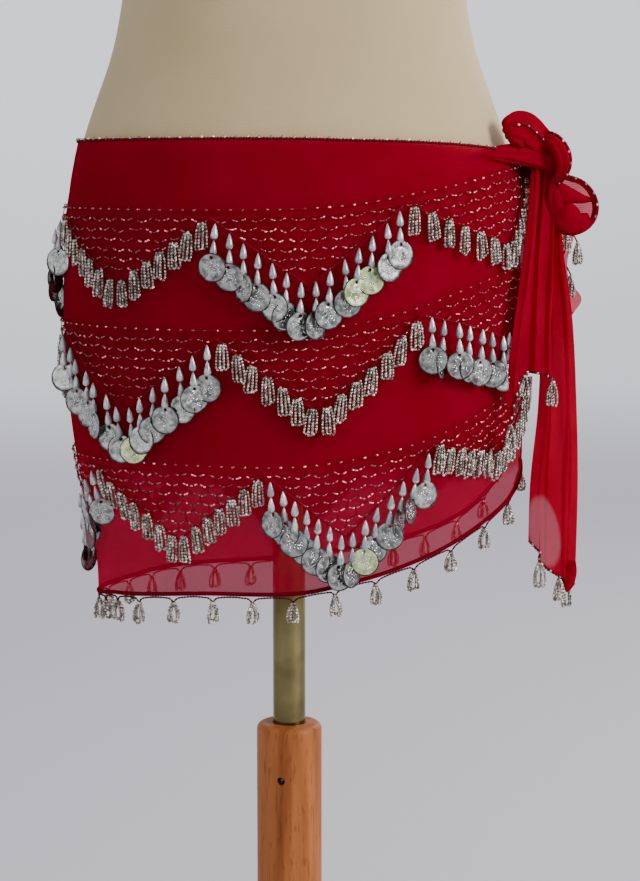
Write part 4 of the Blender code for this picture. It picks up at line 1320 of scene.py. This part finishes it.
def core_form():
    """The knot's folded core, with a point at its top and bottom."""
    rows, sides = 34, 72
    turns = even_turns(sides)
    radii = KNOT_RADII * CORE_SHARE
    points = [KNOT_CENTRE + (0, 0, radii[2])]
    for k in range(1, rows):
        down = np.pi * k / rows
        ridge = 1 - 0.12 + 0.12 * np.abs(np.sin(turns * 3 + 2.2 * math.cos(down))) ** 0.7
        x, y = np.sin(down) * np.cos(turns) * ridge, np.sin(down) * np.sin(turns) * ridge
        points += list(KNOT_CENTRE + np.column_stack((x, y, np.full(sides, math.cos(down)))) * radii)
    points.append(KNOT_CENTRE - (0, 0, radii[2]))
    return points, [face[::-1] for face in pointed_faces(rows - 1, sides)]


def build_knot():
    """The knot: a folded core and the gathered lobes of cloth that cross it, with their beaded edges."""
    cloth, chain, beads, drawn_in, tip = (Batch() for _ in range(5))
    cloth.add(*core_form())
    over, over_line = add_lobe(cloth, OVER_LOBE, 0.50, 8, 1.2)
    add_lobe(cloth, UNDER_LOBE, 0.50, 6, 0.6)
    add_lobe(cloth, BACK_LOBE, 0.50, 6, 0.8)
    right, right_line = add_lobe(cloth, RIGHT_LOBE, 0.60, 6, 1.0)
    for rings, line, column in ((over, over_line, 2), (right, right_line, 11)):
        edge = line + (rings[:, column] - line) * 1.04
        add_edging(chain, beads, edge[4:-6])
    finish_piece("look_knot", cloth, "folded", ["knot"])
    # The cloth drawn in behind the flap is nearly black: painted shade
    add_lobe(drawn_in, KNOT_GATHER, 0.40, 4, 0.6)
    finish_piece("knot_gather", drawn_in, "shade")
    add_lobe(tip, TAIL_GATHER, 0.60, 4, 1.2)
    finish_piece("tail_gather", tip, "folded")
    finish_piece("knot_chain", chain, "crochet")
    finish_piece("knot_beads", beads, "net_beads")


def build_bow():
    """The bow loop: a puffed pouch of one thin layer, and the folds that lie doubled in front of it."""
    columns, rows = 96, 26
    at = 1 + np.arange(columns) * len(BOW_MOUTH) / columns
    mouth = through((BOW_MOUTH[-1], *BOW_MOUTH, *BOW_MOUTH[:2]), at)
    points = []
    for share in np.linspace(0, 1, rows):
        x, z = (mouth + (np.array(BOW_MIDDLE) - mouth) * share**1.5 * 0.96).T
        swell = math.sin(share * math.pi / 2) ** 0.7
        folds = np.sin(np.arange(columns) * 2 * np.pi * 5 / columns + 4 * share)
        back = BOW_FRONT + BOW_DEEP * swell + 0.0011 * folds * math.sin(share * math.pi)
        points.append(np.column_stack((x, back, z)))
    faces = grid_faces(rows, columns, round_row=True)
    faces.append(tuple(range((rows - 1) * columns, rows * columns)))
    mesh = mesh_of("look_bow", np.concatenate(points), faces)
    pouch = finish_piece("look_bow", mesh, "bow", ["bow_loop"])

    cloth, chain, beads = Batch(), Batch(), Batch()
    add_lobe(cloth, BOW_LEFT, 0.6, 3, 0.6, 0.25)
    add_lobe(cloth, BOW_WEDGE, 0.45, 2, 0.5, 0.20)
    add_lobe(cloth, BOW_BOTTOM, 0.55, 3, 0.8, 0.16)
    add_lobe(cloth, BOW_RIM, 0.9, 2, 3.0, 0.15)
    edge = np.array([row[:3] for row in BOW_RIM[:6]]) + (0.0008, -0.0020, 0.0006)
    add_edging(chain, beads, through(edge, np.linspace(0, len(edge) - 1, 60)))
    finish_piece("bow_folds", cloth, "folded")
    finish_piece("bow_chain", chain, "crochet")
    finish_piece("bow_beads", beads, "net_beads")
    return pouch


def knot_under(x, y):
    """Height of the knot's underside over points, or of its middle beside it."""
    share = ((x - KNOT_CENTRE[0]) / KNOT_RADII[0]) ** 2 + ((y - KNOT_CENTRE[1]) / KNOT_RADII[1]) ** 2
    return KNOT_CENTRE[2] - KNOT_RADII[2] * np.sqrt(np.maximum(1 - share, 0.0))


def build_hanging(name, sections, hem, folds, proud, tassels, pleats, look, more_tassels=()):
    """A folded end of the scarf with its beaded edge and the tassels on it."""

    def place_on(share, height, out):
        """Points at shares of its width and heights, this far out of its face."""

        def level(at):
            left = np.stack((along(sections, height, 1), along(sections, height, 2)), -1)
            right = np.stack((along(sections, height, 3), along(sections, height, 4)), -1)
            across = right - left
            forward = unit(np.stack((across[..., 1], -across[..., 0]), -1))
            wave = proud * np.sin(2 * np.pi * folds * at)
            return left + across * at[..., None] + forward * wave[..., None]

        share, height = np.broadcast_arrays(np.asarray(share, float), np.asarray(height, float))
        step = level(share + 0.005) - level(share - 0.005)
        normal = unit(np.stack((step[..., 1], -step[..., 0]), -1))
        point = level(share) + normal * np.asarray(out)[..., None]
        return np.concatenate((point, height[..., None]), -1)

    def pleated(share, height):
        """Points of the cloth, with crisp pleats and slow waves down their length."""
        out = 0.0004 * np.sin(share * folds * 13 + height * 60)
        for middle, rise, half in pleats:
            away = share - middle - 0.012 * np.sin(height * 38 + middle * 9)
            out = out + rise * np.exp(-((away / np.where(away < 0, PLEAT_STEEP * half, half)) ** 2))
        return place_on(share, height, -CLOTH / 2 + out)

    columns, rows = 130, 56
    shares = np.linspace(0, 1, columns)
    top = sections[-1][0]
    under = place_on(shares, top, 0.0)
    high = np.minimum(knot_under(under[:, 0], under[:, 1]), top) + 0.006
    low = along(hem, shares, 1)
    heights = low + (high - low) * np.linspace(0, 1, rows)[:, None]
    points = pleated(np.broadcast_to(shares, heights.shape), heights)
    mesh = mesh_of(f"look_{name}", points, grid_faces(rows, columns))
    cloth = finish_piece(f"look_{name}", mesh, look, [name])

    chain, beads = Batch(), Batch()
    fine = np.linspace(0, 1, 160)
    add_edging(chain, beads, pleated(fine, along(hem, fine, 1)))
    for share in tassels:
        tassel(beads, place_on(share, along(hem, share, 1) - 0.0012, -CLOTH / 2))
    for point in more_tassels:
        tassel(beads, np.array(point), HEM_TASSEL_DROP * 0.9, HEM_TASSEL_SPREAD * 0.8, 3)
        chain.tube(np.array((point, np.array(point) + (-0.003, 0, 0.006))), HEM_CORD, 5)
    finish_piece(f"look_{name}_chain", chain, "crochet")
    nodes = [f"{name}_tassel_{k + 1}" for k in range(len(tassels))]
    finish_piece(f"look_{name}_beads", beads, "beads", nodes)
    return cloth


# Studio

def link_new(name, data):
    """A new object in the scene."""
    made = bpy.data.objects.new(name, data)
    bpy.context.scene.collection.objects.link(made)
    return made


def build_floor():
    """Pale floor that curves up far away."""
    profile = [(radius, 0.0) for radius in (1.0, 2.0, 3.0, FLOOR_FLAT)]
    for turn in range(6, 73, 6):
        out, up = math.sin(math.radians(turn)), 1 - math.cos(math.radians(turn))
        profile.append((FLOOR_FLAT + FLOOR_CURVE * out, FLOOR_CURVE * up))
    sides, sunk = 96, 0.0002
    points = []
    for radius, height in profile:
        points += [(radius * math.cos(t), radius * math.sin(t), height - sunk) for t in even_turns(sides)]
    faces = grid_faces(len(profile), sides, round_row=True)
    faces.append(tuple(range(sides))[::-1])
    mesh = mesh_of("floor", points, faces)
    mesh.shade_smooth()
    floor = link_new("floor", mesh)
    paint = Look("floor")
    stops = ((0.0, (0.54, 0.515, 0.555)), (0.16, (0.82, 0.82, 0.85)), (0.9, (0.97, 0.98, 0.98)))
    colour = paint.ramp(paint.height(paint.place()), *stops)
    mesh.materials.append(paint.shaded({"Base Color": colour, "Roughness": 0.9}))


def build_lights():
    """A sky that is brighter on the right, and the lamps."""
    world = bpy.data.worlds.new("studio")
    world.use_nodes = True
    sky = Nodes(world.node_tree)
    side = sky.add("SeparateXYZ", {"Vector": sky.add("TexCoord", {}, "Generated")}, "X")
    strength = sky.fade(side, -1.0, 1.0, 0.40, 1.25, kind="LINEAR")
    sky.fill(world.node_tree.nodes["Background"], {"Color": (0.92, 0.95, 1.0, 1), "Strength": strength})
    bpy.context.scene.world = world
    for name, place, size, power, at in LAMPS:
        lamp = link_new(name, bpy.data.lights.new(name, "AREA"))
        lamp.data.size = size
        lamp.data.energy = power
        lamp.location = place
        x, y, z = np.array(at) - np.array(place)
        lamp.rotation_euler = (math.atan2(math.hypot(x, y), -z), 0, math.atan2(-x, y))


def place_camera():
    """The camera at the photograph's place, level apart from its tilt down."""
    camera = link_new("camera", bpy.data.cameras.new("camera"))
    camera.location = CAMERA_PLACE
    camera.rotation_euler = (math.radians(90 - CAMERA_DOWN), 0, 0)
    camera.data.lens = CAMERA_LENS
    camera.data.sensor_width = CAMERA_SENSOR
    bpy.context.scene.camera = camera


def main():
    build_floor()
    build_lights()
    place_camera()
    build_stand()
    build_form()
    wrap, rolled = build_wrap()
    for number, row in enumerate(NET_ROWS, start=1):
        build_net(number, row)
        build_fringes(number, row)
    build_hem()
    build_knot()
    bow = build_bow()
    flap = build_hanging(
        "front_flap", FLAP_SECTIONS, FLAP_HEM, 1.5, 0.0030, (0.0, 0.45, 1.0), FLAP_PLEATS, "folded",
    )
    tail = build_hanging("tail", TAIL_SECTIONS, TAIL_HEM, 2.0, 0.0035, (0.3, 0.6, 0.9), TAIL_PLEATS, "tail")
    back = build_hanging(
        "back_flap", BACK_FLAP_SECTIONS, BACK_FLAP_HEM, 1.0, 0.0030, (0.3, 0.8), BACK_PLEATS, "bow",
        BACK_TASSELS,
    )


main()
